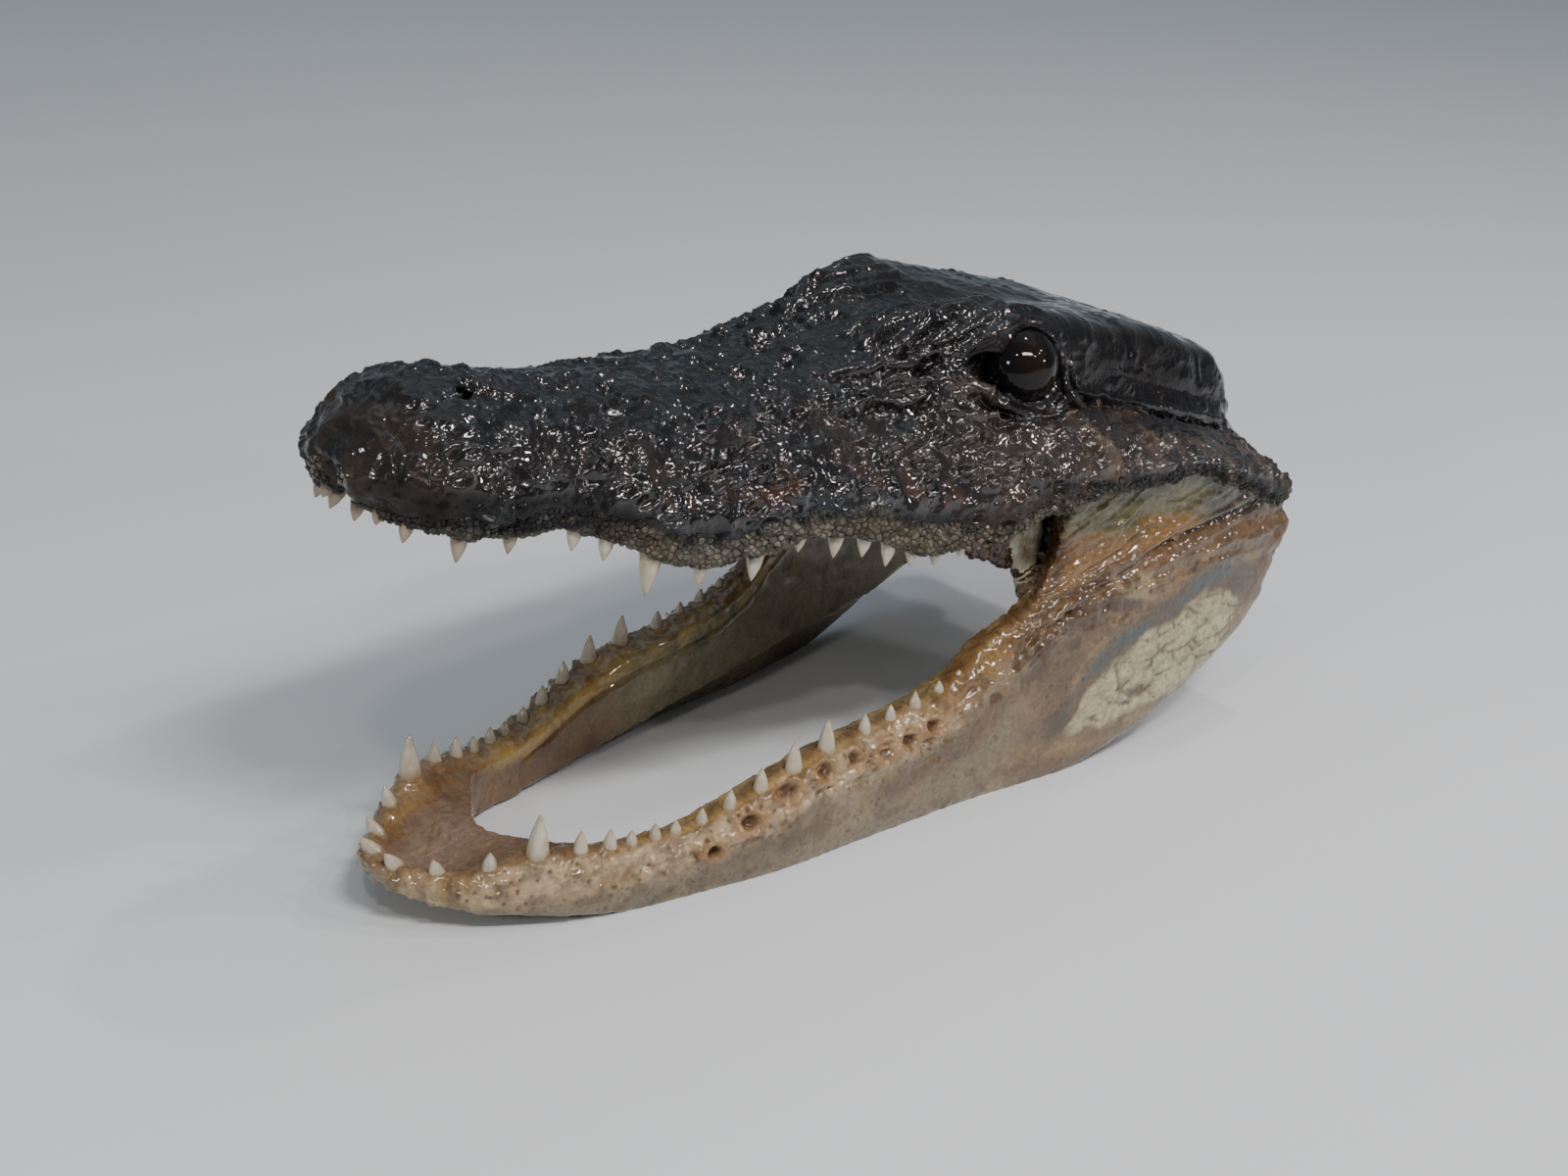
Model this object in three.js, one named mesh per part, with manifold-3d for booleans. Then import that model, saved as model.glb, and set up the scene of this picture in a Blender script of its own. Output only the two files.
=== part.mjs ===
// A lacquered, skin-on head of a young American alligator, jaws held open, resting on its lower jaw.
// Millimetres. +X points to the snout, +Y to the animal's left, +Z up; the floor is z = 0.
// The upper head is drawn level in a frame of its own, with the jaw hinge as its origin, and
// that frame is then pitched up by the gape. The lower jaw is drawn where it rests.
import * as THREE from 'three';
import { mergeVertices } from 'three/addons/utils/BufferGeometryUtils.js';
import Module from 'manifold-3d';

const wasm = await Module();
wasm.setup();

// ---- Driving dimensions ----
const hingeX = -76.65;            // jaw hinge, behind the middle of the head
const hingeZ = 60;                // its height over the floor
const gape = 16;                  // pitch of the upper head, degrees
const gap = 0.3;                  // clearance where two pieces meet
const snoutFromCranium = 74.9;    // skull-frame place of the cut between snout and cranium
const upperRear = -38;            // skull-frame rear face of the head
const upperTip = 200.3;           // skull-frame tip of the snout
const jawTip = 26.4;              // front of the chin, ahead of the fourth lower tooth
const jawRear = -200.5;           // rear corner of the lower jaw
const chinCut = -4.4;             // where the chin gives way to the two jaw halves
const angleCut = -112;            // where a jaw half deepens into the jaw angle
const symphysis = -3.2;           // rear notch of the bone bridge behind the chin
const eyeRadius = 9;
const eyeCentre = new THREE.Vector3(44.6, 26.4, 23);
const nostril = new THREE.Vector3(179.5, 8.4, 2.2);
const nostrilSize = new THREE.Vector3(2.6, 2, 5);
const browRear = 22;              // the hood over an eye: its ends, inner side and base
const browFront = 66;
const browInner = 12;
const browBase = 24.5;
const foramenRadius = 3.2;        // opening for the spinal cord, at the middle of the rear face
const foramenHeight = 17;
const condyleRadius = 5;
const cheekUpperFront = 34;       // front edge of the cheek at the lip, in the skull frame
const cheekLowerFront = -124;     // and at the rim of the jaw
const sectionSteps = 9;           // segments of a half section's outer side
const eyeSegments = 14;

const skullOrigin = -165;         // hinge measured from the fourth lower tooth
const toothFourX = hingeX - skullOrigin;
const degree = Math.PI / 180;

// Smooth curve through [place, value] knots with no overshoot, level past both ends.
function along(knots) {
  const places = knots.map((knot) => knot[0]);
  const values = knots.map((knot) => knot[1]);
  const last = knots.length - 1;
  const slope = (i) => (values[i + 1] - values[i]) / (places[i + 1] - places[i]);
  const tangent = (i) => {
    if (i === 0 || i === last) return 0;
    const before = slope(i - 1);
    const after = slope(i);
    return before * after <= 0 ? 0 : (2 * before * after) / (before + after);
  };
  return (place) => {
    if (place <= places[0]) return values[0];
    if (place >= places[last]) return values[last];
    const i = places.findIndex((knot) => knot > place) - 1;
    const span = places[i + 1] - places[i];
    const t = (place - places[i]) / span;
    return values[i] * (2 * t ** 3 - 3 * t ** 2 + 1) + values[i + 1] * (3 * t ** 2 - 2 * t ** 3)
      + span * (tangent(i) * (t ** 3 - 2 * t ** 2 + t) + tangent(i + 1) * (t ** 3 - t ** 2));
  };
}

const range = (from, to, count) => (
  Array.from({ length: count + 1 }, (_, i) => from + ((to - from) * i) / count)
);
const bump = (place, centre, width) => Math.exp(-(((place - centre) / width) ** 2));

// ---- Solids ----
// A closed body through rings of equal length, with a fan over each end.
function loft(rings) {
  const sides = rings[0].length;
  const positions = rings.flat().flatMap((point) => [point.x, point.y, point.z]);
  const index = [];
  for (let ring = 0; ring + 1 < rings.length; ring += 1) {
    for (let side = 0; side < sides; side += 1) {
      const a = ring * sides + side;
      const b = ring * sides + ((side + 1) % sides);
      index.push(a, b, a + sides, b, b + sides, a + sides);
    }
  }
  for (const ring of [0, rings.length - 1]) {
    const centre = positions.length / 3;
    const middle = rings[ring].reduce((sum, point) => sum.add(point), new THREE.Vector3());
    middle.divideScalar(sides);
    positions.push(middle.x, middle.y, middle.z);
    for (let side = 0; side < sides; side += 1) {
      const a = ring * sides + side;
      const b = ring * sides + ((side + 1) % sides);
      index.push(...(ring === 0 ? [b, a, centre] : [a, b, centre]));
    }
  }
  return toManifold(positions, index);
}

function toManifold(positions, index) {
  let volume = 0;
  const corner = (i) => new THREE.Vector3(...positions.slice(3 * i, 3 * i + 3));
  for (let i = 0; i < index.length; i += 3) {
    volume += corner(index[i]).dot(corner(index[i + 1]).cross(corner(index[i + 2])));
  }
  const facing = volume > 0 ? index : index.toReversed();
  return new wasm.Manifold(new wasm.Mesh({
    numProp: 3,
    vertProperties: new Float32Array(positions),
    triVerts: new Uint32Array(facing),
  }));
}

function solidOf(geometry) {
  const bare = geometry.clone();
  bare.deleteAttribute('normal');
  bare.deleteAttribute('uv');
  const merged = mergeVertices(bare, 1e-4);
  return toManifold(Array.from(merged.attributes.position.array), Array.from(merged.index.array));
}

function geometryOf(solid) {
  const mesh = solid.getMesh();
  const geometry = new THREE.BufferGeometry();
  geometry.setAttribute('position', new THREE.BufferAttribute(mesh.vertProperties, 3));
  geometry.setIndex(new THREE.BufferAttribute(mesh.triVerts, 1));
  geometry.computeVertexNormals();
  return geometry;
}

const block = (low, high) => {
  const size = new THREE.Vector3().subVectors(high, low);
  const middle = new THREE.Vector3().addVectors(low, high).multiplyScalar(0.5);
  return solidOf(new THREE.BoxGeometry(size.x, size.y, size.z).translate(middle.x, middle.y, middle.z));
};

const ball = (radius, centre, stretch = new THREE.Vector3(1, 1, 1), segments = eyeSegments) => solidOf(
  new THREE.SphereGeometry(radius, segments, Math.round(segments * 0.7))
    .rotateX(Math.PI / 2)
    .scale(stretch.x, stretch.y, stretch.z)
    .translate(centre.x, centre.y, centre.z),
);

// A solid with the clearance added round it.
const grown = (solid) => wasm.Manifold.union([-gap, 0, gap].flatMap((shift) => [
  solid.translate([shift, 0, 0]),
  solid.translate([0, shift, 0]),
  solid.translate([0, 0, shift]),
]));

const mirrored = (point) => new THREE.Vector3(point.x, -point.y, point.z);
const flipped = (solid) => solid.mirror([0, 1, 0]);
const farCorner = 400;

// What is left of a solid between two places along X, half the clearance short of each cut.
const between = (solid, rear, front) => solid.intersect(block(
  new THREE.Vector3(rear + gap / 2, -farCorner, -farCorner),
  new THREE.Vector3(front - gap / 2, farCorner, farCorner),
));

// A closed ring from half a section: its points run from the middle of the top round to the
// middle of the underside.
const ringFromHalf = (half) => [
  ...half,
  ...half.slice(1, -1).toReversed().map(mirrored),
];

// ---- Teeth: slender cones, each sunk into the gum it grows from ----
const toothSides = 6;
const toothSunk = 2.2;
const toothRadius = (length) => 0.85 + 0.16 * length;

function tooth(base, length, lean) {
  const cone = new THREE.ConeGeometry(toothRadius(length), length + toothSunk, toothSides, 2);
  const places = cone.attributes.position;
  for (let i = 0; i < places.count; i += 1) {
    const rise = places.getY(i) / (length + toothSunk);
    const swell = Math.abs(rise) < 0.1 ? 1.35 : 1;
    places.setX(i, places.getX(i) * swell);
    places.setZ(i, places.getZ(i) * swell);
  }
  const direction = lean.clone().normalize();
  const turn = new THREE.Quaternion().setFromUnitVectors(new THREE.Vector3(0, 1, 0), direction);
  const middle = base.clone().addScaledVector(direction, (length - toothSunk) / 2);
  return solidOf(cone.applyQuaternion(turn).translate(middle.x, middle.y, middle.z));
}

const withTeeth = (jaw, teeth) => wasm.Manifold.union([jaw, ...teeth]);

// ---- Upper head, in the skull frame ----
const upperHalfWidth = along([
  [upperRear, 49.5], [-20, 52], [20, 48.5], [60, 43.5], [95, 40], [125, 36.5], [145, 32], [162, 27.4],
  [175, 26], [183, 24.6], [189, 21.6], [193.5, 17.2], [197, 11.8], [199.4, 6], [upperTip, 1.8],
]);
const upperToothLine = along([
  [upperRear, 46], [-10, 47.5], [9, 46.5], [35, 43.2], [60, 40.5], [92, 37.4], [119, 34.2],
  [131, 32.2], [142, 29.4],
  [151, 26], [158, 23.4], [164, 21.9], [172, 22.1], [182.5, 20.3], [187, 17.4], [190.5, 13.6],
  [193, 8.2], [194.4, 2.6],
]);
const crown = along([
  [upperRear, 24], [-34, 29], [-27, 33], [0, 35], [20, 34], [34, 31.6], [46, 29.4], [60, 27.8],
  [76, 23.6], [88, 18.4], [98, 14.2], [108, 11.2], [121, 8.8], [134, 7], [144, 5.2], [154, 4],
  [165, 3.4], [175, 3.4],
  [183, 2.8], [188.5, 1.2], [192.5, -1.4], [195.6, -4.8], [198.2, -8.6], [199.7, -11.8], [upperTip, -14],
]);
const lip = along([
  [upperRear, 2], [-31, 2.8], [-19, 4.7], [-1.7, 7.6], [12, 3.9], [24, 1], [34, -2.5], [44, -5.9],
  [53, -11.6],
  [60, -14.1], [70, -15.7], [80, -15.9], [95, -14], [103, -14.7], [109, -15.2], [117.5, -19], [124, -21.4],
  [138, -23.2], [147, -21.3], [156, -20], [163, -19.4], [172, -21.4], [183, -22.6], [191, -23.2],
  [194.8, -22.6],
  [197.4, -20.8], [199.3, -18.2], [upperTip, -16],
]);
const roof = along([
  [upperRear, 6], [-20, 2], [0, -5], [20, -10], [40, -11], [60, -9.5], [90, -9], [130, -14], [160, -15.5],
  [187, -17.5], [196, -17.5], [upperTip, -15],
]);

// Where a half section turns, as shares of the half width and of the height over the lip.
const shoulderOut = along([[-38, 0.46], [0, 0.5], [45, 0.57], [62, 0.5], [76, 0.4], [205, 0.4]]);
const shoulderDown = along([
  [-38, 0.05], [0, 0.02], [20, -0.01], [46, -0.15], [60, -0.06], [80, 0.03], [205, 0.06],
]);
const flankOut = along([[-38, 0.62], [0, 0.62], [44, 0.74], [62, 0.72], [95, 0.7], [205, 0.78]]);
const flankDown = along([[-38, 0.5], [0, 0.6], [20, 0.52], [44, 0.4], [62, 0.36], [95, 0.28], [205, 0.25]]);
const bulgeUp = along([[-38, 0.2], [0, 0.16], [44, 0.28], [95, 0.3], [160, 0.36], [205, 0.42]]);
const lipWidth = 2.6;             // lip outside the tooth line
const gumWidth = along([[-38, 10], [40, 8], [185, 5.5], [194, 3], [upperTip, 0.8]]);
const gumRise = 1.4;

function upperRing(place) {
  const width = upperHalfWidth(place);
  const top = crown(place);
  const low = lip(place);
  const height = top - low;
  const lipY = Math.min(width - 0.8, upperToothLine(place) + lipWidth);
  const turns = [
    [0, top],
    [width * shoulderOut(place), top - height * shoulderDown(place)],
    [width * flankOut(place), top - height * flankDown(place)],
    [width, low + height * bulgeUp(place)],
    [lipY, low],
  ];
  const outer = new THREE.SplineCurve(turns.map((turn) => new THREE.Vector2(...turn)));
  const under = [
    [lipY - gumWidth(place), low + gumRise],
    [0.62 * lipY - 1, Math.max(roof(place) - 1.5, low + gumRise)],
    [0, roof(place)],
  ];
  const half = outer.getPoints(sectionSteps).map((turn) => [turn.x, turn.y]).concat(under);
  return ringFromHalf(half.map(([y, z]) => new THREE.Vector3(place, y, z)));
}

const upperStations = [
  ...range(upperRear, 4, 6), ...range(12, 84, 8), ...range(94, 156, 6), ...range(164, 188, 3),
  192, 195, 197.4, 199.2, upperTip,
];
const upperWhole = loft(upperStations.map(upperRing));

// Upper teeth: place along the row and crown length, front to rear.
const upperTeeth = [
  [194, 3.2], [192.9, 2.2], [190.3, 3.6], [182.6, 5.6], [172.3, 4.2], [158, 4.4], [151.6, 4.6],
  [142.3, 8], [131.4, 4.9], [119.2, 5.9], [109.1, 3.9], [99.7, 5.2], [92.1, 4.8], [85.1, 5.1], [78.2, 4.2],
  [71.4, 3.9], [64.4, 2.4], [59.4, 1.6],
];

function upperToothRow(rear, front) {
  const row = [];
  for (const [place, length] of upperTeeth.filter(([at]) => at > rear && at < front)) {
    const forward = 0.1 + 0.25 * bump(place, upperTip, 9);
    for (const side of [1, -1]) {
      const base = new THREE.Vector3(place, side * upperToothLine(place), lip(place) + gumRise * 0.4);
      row.push(tooth(base, length, new THREE.Vector3(forward, side * 0.2, -1)));
    }
  }
  return row;
}

// Each eye is a glass ball in a socket; the hood over it is the ridge of the brow.
const eyePlace = (side) => new THREE.Vector3(eyeCentre.x, side * eyeCentre.y, eyeCentre.z);
const socketOf = (side) => ball(eyeRadius + gap, eyePlace(side));
const eyeOf = (side) => ball(eyeRadius, eyePlace(side));
const sockets = [1, -1].map(socketOf);
const nostrils = [1, -1].map((side) => ball(
  1,
  new THREE.Vector3(nostril.x, side * nostril.y, nostril.z),
  nostrilSize,
  8,
));

const browBox = (side, margin) => {
  const low = new THREE.Vector3(browRear - margin, browInner - margin, browBase - margin);
  const high = new THREE.Vector3(browFront + margin, farCorner, farCorner);
  const box = block(low, high);
  return side > 0 ? box : flipped(box);
};

const craniumWhole = between(upperWhole, upperRear - 1, snoutFromCranium)
  .subtract(wasm.Manifold.union(sockets));

const browOf = (side) => craniumWhole.intersect(browBox(side, 0));
const foramenDepth = 8;
const foramen = solidOf(new THREE.CylinderGeometry(foramenRadius, foramenRadius, 2 * foramenDepth, 10)
  .rotateZ(Math.PI / 2)
  .translate(upperRear, 0, foramenHeight));
const cranium = withTeeth(
  craniumWhole.subtract(wasm.Manifold.union([browBox(1, gap), browBox(-1, gap), foramen])),
  upperToothRow(upperRear, snoutFromCranium),
);
const snout = withTeeth(
  between(upperWhole, snoutFromCranium, upperTip + 1).subtract(wasm.Manifold.union(nostrils)),
  upperToothRow(snoutFromCranium, upperTip),
);

// The knob of bone under the opening for the spinal cord.
const condyle = between(
  ball(
    condyleRadius,
    new THREE.Vector3(upperRear - gap, 0, foramenHeight - foramenRadius - condyleRadius + 0.2),
    new THREE.Vector3(1, 1.3, 0.9),
    12,
  ),
  -farCorner,
  upperRear - gap / 2,
);

// A wing of bone that hangs from the roof of the mouth behind the last teeth, narrower as it
// goes down.
const wingThickness = 3;
const wingTop = -5;
const wingHeight = 24;
const wingMiddle = new THREE.Vector2(37.5, 31.5);
const wingHalfLength = 10.8;
const wingSweep = 12;             // how far its lower end lies behind its upper end
function pterygoidOf(side) {
  const wing = range(0, 1, 5).map((down) => {
    const middleX = wingMiddle.x - wingSweep * down;
    const halfLength = wingHalfLength * (1 - 0.7 * down ** 0.7);
    const middleY = wingMiddle.y - 0.8 * down;
    const height = wingTop - wingHeight * down;
    return range(0, 5, 5).map((corner) => {
      const turn = (corner * Math.PI) / 3;
      const y = middleY + Math.sin(turn) * 0.58 * wingThickness;
      return new THREE.Vector3(middleX + Math.cos(turn) * halfLength, side * y, height);
    });
  });
  return loft(wing).subtract(grown(cranium));
}

// ---- Lower jaw, measured from the fourth tooth ----
const toothLine = along([
  [jawRear, 49], [-160, 46], [-130, 41], [-105, 37.9], [-78, 35.6], [-58, 35.2], [-36, 31.2],
  [-20, 28], [-8.3, 26],
  [0, 22.8], [8.1, 18.4], [15.2, 12.4], [21.4, 5], [23.4, 0.4],
]);
const jawOuter = along([
  [jawRear, 51.6], [-185, 51.6], [-160, 50], [-140, 47], [-121, 43.8], [-105, 41.2], [-79.5, 39.6],
  [-54, 38], [-36, 34.6],
  [-26, 32.4], [-16.5, 30.6], [-8, 28.6], [0, 25.6], [9, 20.6], [15, 15.8], [20, 10.8], [23.4, 6.2],
  [25.4, 3], [jawTip, 1],
]);
const rim = along([
  [jawRear, 50.4], [-196, 51.4], [-190, 52], [-173, 52.2], [-155, 51], [-141, 48.5], [-130, 45.4],
  [-122, 40.5], [-112, 35.5],
  [-105, 30], [-92.7, 25.9], [-78, 23.6], [-67, 22.8], [-58, 21], [-50, 18.8], [-42, 16], [-30, 13.4],
  [-20, 13.4],
  [-8, 15], [0, 16], [8, 13.8], [15, 12.4], [21.4, 13], [25, 14.2], [jawTip, 14.4],
]);
const keel = along([
  [jawRear, 44.5], [-198.5, 38], [-196, 32], [-191, 25], [-181, 18], [-172, 13], [-160, 7.4], [-151, 4],
  [-140, 1], [-128, -0.7], [-112, -1.2], [-50, -1.2], [-26, -0.9], [-16, -0.1], [-7, 1.6], [5, 3.7],
  [13, 5], [19, 6.8],
  [24, 9.4], [jawTip, 12.4],
]);
const innerKeel = along([
  [jawRear, 46], [-195, 38], [-185, 26], [-172, 19], [-159, 13.5], [-151, 11.4], [-129, 10],
  [-102, 8.6], [-82, 6],
  [-70, 4], [-53, 1.6], [-33, 0.8], [-16, 1.4], [-7, 2.8], [5, 4.8], [19, 7.6], [24, 10], [jawTip, 13],
]);
const wall = along([
  [jawRear, 17], [-185, 15], [-160, 11.5], [-120, 9.5], [-90, 10.5], [-50, 10], [-20, 9.2],
  [symphysis - 2, 12],
]);

function lowerRing(place) {
  const width = jawOuter(place);
  const teethY = Math.min(toothLine(place), width - 0.6);
  const low = keel(place);
  const high = rim(place);
  const height = high - low;
  const floor = high - Math.min(3, 0.4 * height);
  const half = [
    [0, floor],
    [teethY * 0.55, floor + 0.3],
    [teethY * 0.88, high - 0.2],
    [teethY, high],
    [teethY + (width - teethY) * 0.75, high - height * 0.16],
    [width, high - height * 0.45],
    [width * 0.995, low + height * 0.22],
    [width * 0.975, low + height * 0.06],
    [width * 0.92, low],
    [Math.max(width - wall(place), 0.3 * width) * 0.98, innerKeel(place)],
    [0, innerKeel(place)],
  ];
  return ringFromHalf(half.map(([y, z]) => new THREE.Vector3(place, y, z)));
}

const lowerStations = [
  jawRear, -198.5, -196, -192, -186, -178, ...range(-168, -112, 6), ...range(-102, -12, 9),
  ...range(-6, 18, 6), 21.5, 24, 26, jawTip,
];
const floorBlock = block(
  new THREE.Vector3(-farCorner, -farCorner, -farCorner),
  new THREE.Vector3(farCorner, farCorner, 0),
);
const lowerWhole = loft(lowerStations.map(lowerRing)).subtract(floorBlock);

// The open floor of the mouth: a long wedge of air between the two jaw halves.
const inside = (place) => Math.max(jawOuter(place) - wall(place), 0.6);
const insideStations = [-230, -215, jawRear, ...range(-190, -20, 12), -14, -9, -6, symphysis];
const jawFloor = loft(insideStations.map((place) => {
  const half = inside(Math.max(place, jawRear));
  const notch = place > -14 ? Math.sqrt((symphysis - place + 0.1) / (symphysis + 14)) : 1;
  return [[1, 200], [-1, 200], [-1, -20], [1, -20]].map(([side, z]) => (
    new THREE.Vector3(place, side * Math.max(half * notch, 0.4) * (z > 0 ? 1.02 : 0.98), z)
  ));
}));
const openJaw = lowerWhole.subtract(jawFloor);

const sideOnly = (solid, side) => {
  const half = block(
    new THREE.Vector3(-farCorner, 0.01, -farCorner),
    new THREE.Vector3(farCorner, farCorner, farCorner),
  );
  return solid.intersect(side > 0 ? half : flipped(half));
};

// Lower teeth: place, crown length, forward lean and outward lean, front to rear.
const lowerTeeth = [
  [21.6, 5.4, 0.75, 0.2], [16.2, 5, 0.5, 0.3], [8.4, 4.8, 0.2, 0.3], [0, 9.4, 0.02, 0.12],
  [-8.3, 5.2, 0, 0.1],
  [-15, 4.9, 0, 0.08], [-20.1, 3.6, 0, 0.06], [-25.4, 3.8, 0, 0.06], [-30.1, 3.4, 0, 0.06],
  [-36.2, 3.7, 0, 0.06],
  [-42.7, 4.6, 0, 0.06], [-49.8, 5.4, 0, 0.06], [-58.1, 6.9, 0, 0.04], [-67.5, 7.4, 0, 0.02],
  [-78.5, 4.7, 0, 0],
  [-85.8, 3.9, 0, 0], [-92.7, 3.9, 0, 0], [-99.4, 3, 0, 0], [-104.9, 2, 0, 0],
];

function lowerToothRow(rear, front, sides) {
  const row = [];
  for (const [place, length, forward, outward] of lowerTeeth) {
    if (place > rear && place < front) {
      for (const side of sides) {
        const base = new THREE.Vector3(place, side * (toothLine(place) - 1), rim(place) - 0.5);
        row.push(tooth(base, length, new THREE.Vector3(forward, side * outward, 1)));
      }
    }
  }
  return row;
}

const chin = withTeeth(between(openJaw, chinCut, jawTip + 1), lowerToothRow(chinCut, jawTip, [1, -1]));
const jawHalfOf = (side) => withTeeth(
  sideOnly(between(openJaw, angleCut, chinCut), side),
  lowerToothRow(angleCut, chinCut, [side]),
);
const jawAngleOf = (side) => sideOnly(between(openJaw, jawRear - 1, angleCut), side);

// ---- Cheeks: the dried skin between the jaws, from the lip down to the rim of the jaw ----
const cheekThickness = along([[0, 1.6], [0.5, 2], [0.8, 4], [1, 9]]);
const cheekSunk = 1;              // overlap with each jaw before it gives way
const cheekSag = new THREE.Vector3(-5, -1.5, 0);

function toFloorFrame(place, y, z) {
  const turned = new THREE.Vector3(place, y, z).applyAxisAngle(new THREE.Vector3(0, 1, 0), -gape * degree);
  return turned.add(new THREE.Vector3(skullOrigin, 0, hingeZ));
}

function cheekOf(side) {
  const rings = range(0, 1, 9).map((back) => {
    const upperPlace = cheekUpperFront + (upperRear + gap - cheekUpperFront) * back;
    const lowerPlace = cheekLowerFront + (jawRear + gap - cheekLowerFront) * back;
    const upperY = upperToothLine(upperPlace) + lipWidth * (0.1 + 0.8 * back);
    const upper = toFloorFrame(upperPlace, upperY, lip(upperPlace) + cheekSunk);
    const lowerY = toothLine(lowerPlace) + 1.6 * back;
    const lower = new THREE.Vector3(lowerPlace, lowerY, rim(lowerPlace) - cheekSunk);
    const column = range(0, 1, 3).map((share) => {
      const point = lower.clone().lerp(upper, share);
      const sag = Math.sin(Math.PI * share) * (1 - back) ** 2;
      return point.addScaledVector(cheekSag, sag);
    });
    const depth = new THREE.Vector3(0, -cheekThickness(back), 0);
    const inner = column.toReversed().map((point) => point.clone().add(depth));
    return [...column, ...inner].map((point) => (side > 0 ? point : mirrored(point)));
  });
  return loft(rings);
}

// The jaws keep clear of each cheek: the cheek gives way to both, and to the clearance round them.
function shavedCheek(side, neighbours) {
  const shaved = cheekOf(side).subtract(wasm.Manifold.union(neighbours.map(grown)));
  return shaved.decompose().sort((a, b) => b.volume() - a.volume())[0];
}

const inFloorFrame = (solid) => solid.rotate([0, -gape, 0]).translate([skullOrigin, 0, hingeZ]);

// ---- Materials ----
const paint = (color, roughness) => new THREE.MeshStandardMaterial({ color, roughness, metalness: 0 });
const darkHide = paint(0x1d1714, 0.22);
const paleHide = paint(0x8c7557, 0.4);
const dryMembrane = paint(0x8a6d35, 0.35);
const eyeGlass = paint(0x0b0a09, 0.05);
const bone = paint(0xa9a68e, 0.45);

function piece(name, solid, material) {
  const mesh = new THREE.Mesh(geometryOf(solid), material);
  mesh.name = name;
  return mesh;
}

// ---- Assembly ----
const head = new THREE.Group();
head.position.x = toothFourX;

const upperHead = new THREE.Group();
upperHead.position.set(skullOrigin, 0, hingeZ);
upperHead.rotation.y = -gape * degree;
head.add(upperHead);

upperHead.add(piece('snout', snout, darkHide));
upperHead.add(piece('cranium', cranium, darkHide));
upperHead.add(piece('occipital_condyle', condyle, bone));
head.add(piece('chin', chin, paleHide));

for (const [label, side] of [['left', 1], ['right', -1]]) {
  const angle = jawAngleOf(side);
  upperHead.add(piece(`brow_${label}`, browOf(side), darkHide));
  upperHead.add(piece(`eye_${label}`, eyeOf(side), eyeGlass));
  upperHead.add(piece(`pterygoid_${label}`, pterygoidOf(side), bone));
  head.add(piece(`jaw_${label}`, jawHalfOf(side), paleHide));
  head.add(piece(`jaw_angle_${label}`, angle, paleHide));
  const neighbours = [inFloorFrame(cranium), inFloorFrame(pterygoidOf(side)), angle];
  head.add(piece(`cheek_${label}`, shavedCheek(side, neighbours), dryMembrane));
}

export default head;
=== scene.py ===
import math

import bmesh
import bpy
import numpy as np
from mathutils import Matrix, Vector
from mathutils.bvhtree import BVHTree
from mathutils.kdtree import KDTree


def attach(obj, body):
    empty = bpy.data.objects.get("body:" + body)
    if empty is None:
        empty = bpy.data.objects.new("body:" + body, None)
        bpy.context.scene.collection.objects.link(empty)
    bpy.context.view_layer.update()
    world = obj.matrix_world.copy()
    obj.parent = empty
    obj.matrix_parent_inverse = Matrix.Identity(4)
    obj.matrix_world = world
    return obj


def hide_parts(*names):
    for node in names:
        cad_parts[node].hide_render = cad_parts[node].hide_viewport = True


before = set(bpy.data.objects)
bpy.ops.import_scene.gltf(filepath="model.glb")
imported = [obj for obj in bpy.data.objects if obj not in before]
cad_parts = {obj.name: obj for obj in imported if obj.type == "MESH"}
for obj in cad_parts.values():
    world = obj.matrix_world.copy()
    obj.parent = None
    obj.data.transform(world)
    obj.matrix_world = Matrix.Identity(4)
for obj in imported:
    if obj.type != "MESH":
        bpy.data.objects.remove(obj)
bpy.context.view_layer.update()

# Millimetres until a mesh is stored. Jaw frame: x from the fourth lower tooth. Skull frame: s along
# the level upper head from the jaw hinge, pitched up by the gape.
MM = 0.001
TOOTH_FOUR_X = 88.35
SKULL_X = -165.0
HINGE_Z = 60.0
GAPE = math.radians(16)
COAT = 1.0              # depth of the coat over the skin
SKIN_VOXEL = 1.15
PLATE_VOXEL = 0.48
BONE_VOXEL = 0.45
PLATE_SPACING = 4.4
PLATE_WALL = 0.9        # how far a plate's rim reaches down, and its middle
PLATE_DEPTH = 1.2
COVERED = 0.3           # share of coat above which a plate is made
SCALE_SPACING = 1.38
SCALE_HEIGHT = 0.3
SCALE_STRETCH = 1.1     # along the head
SCALE_GAP = 0.045
CORNER_SHARPNESS = 9.0  # of the outline of a scale
MOST_TRIED = 60000      # points looked at when picks are spread
GRID_CELL = 3.0
BOTH_SIDES = ((1, "left"), (-1, "right"))
rng = np.random.default_rng(41)


# ---- Numbers and fields ----
def along(*knots):
    """Smooth curve through (place, value) knots with no overshoot, level past both ends."""
    x, y = np.array(knots, float).T
    slope = np.diff(y) / np.diff(x)
    tangent = np.zeros_like(y)
    a, b = slope[:-1], slope[1:]
    same = a * b > 0
    tangent[1:-1][same] = 2 * a[same] * b[same] / (a[same] + b[same])

    def value(place):
        p = np.clip(np.asarray(place, float), x[0], x[-1])
        i = np.clip(np.searchsorted(x, p, side="right") - 1, 0, len(x) - 2)
        h = x[i + 1] - x[i]
        t = (p - x[i]) / h
        return (y[i] * (2 * t**3 - 3 * t**2 + 1) + y[i + 1] * (3 * t**2 - 2 * t**3)
                + h * (tangent[i] * (t**3 - 2 * t**2 + t) + tangent[i + 1] * (t**3 - t**2)))

    return value


def step(low, high, value):
    t = np.clip((value - low) / (high - low), 0, 1)
    return t * t * (3 - 2 * t)


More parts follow.
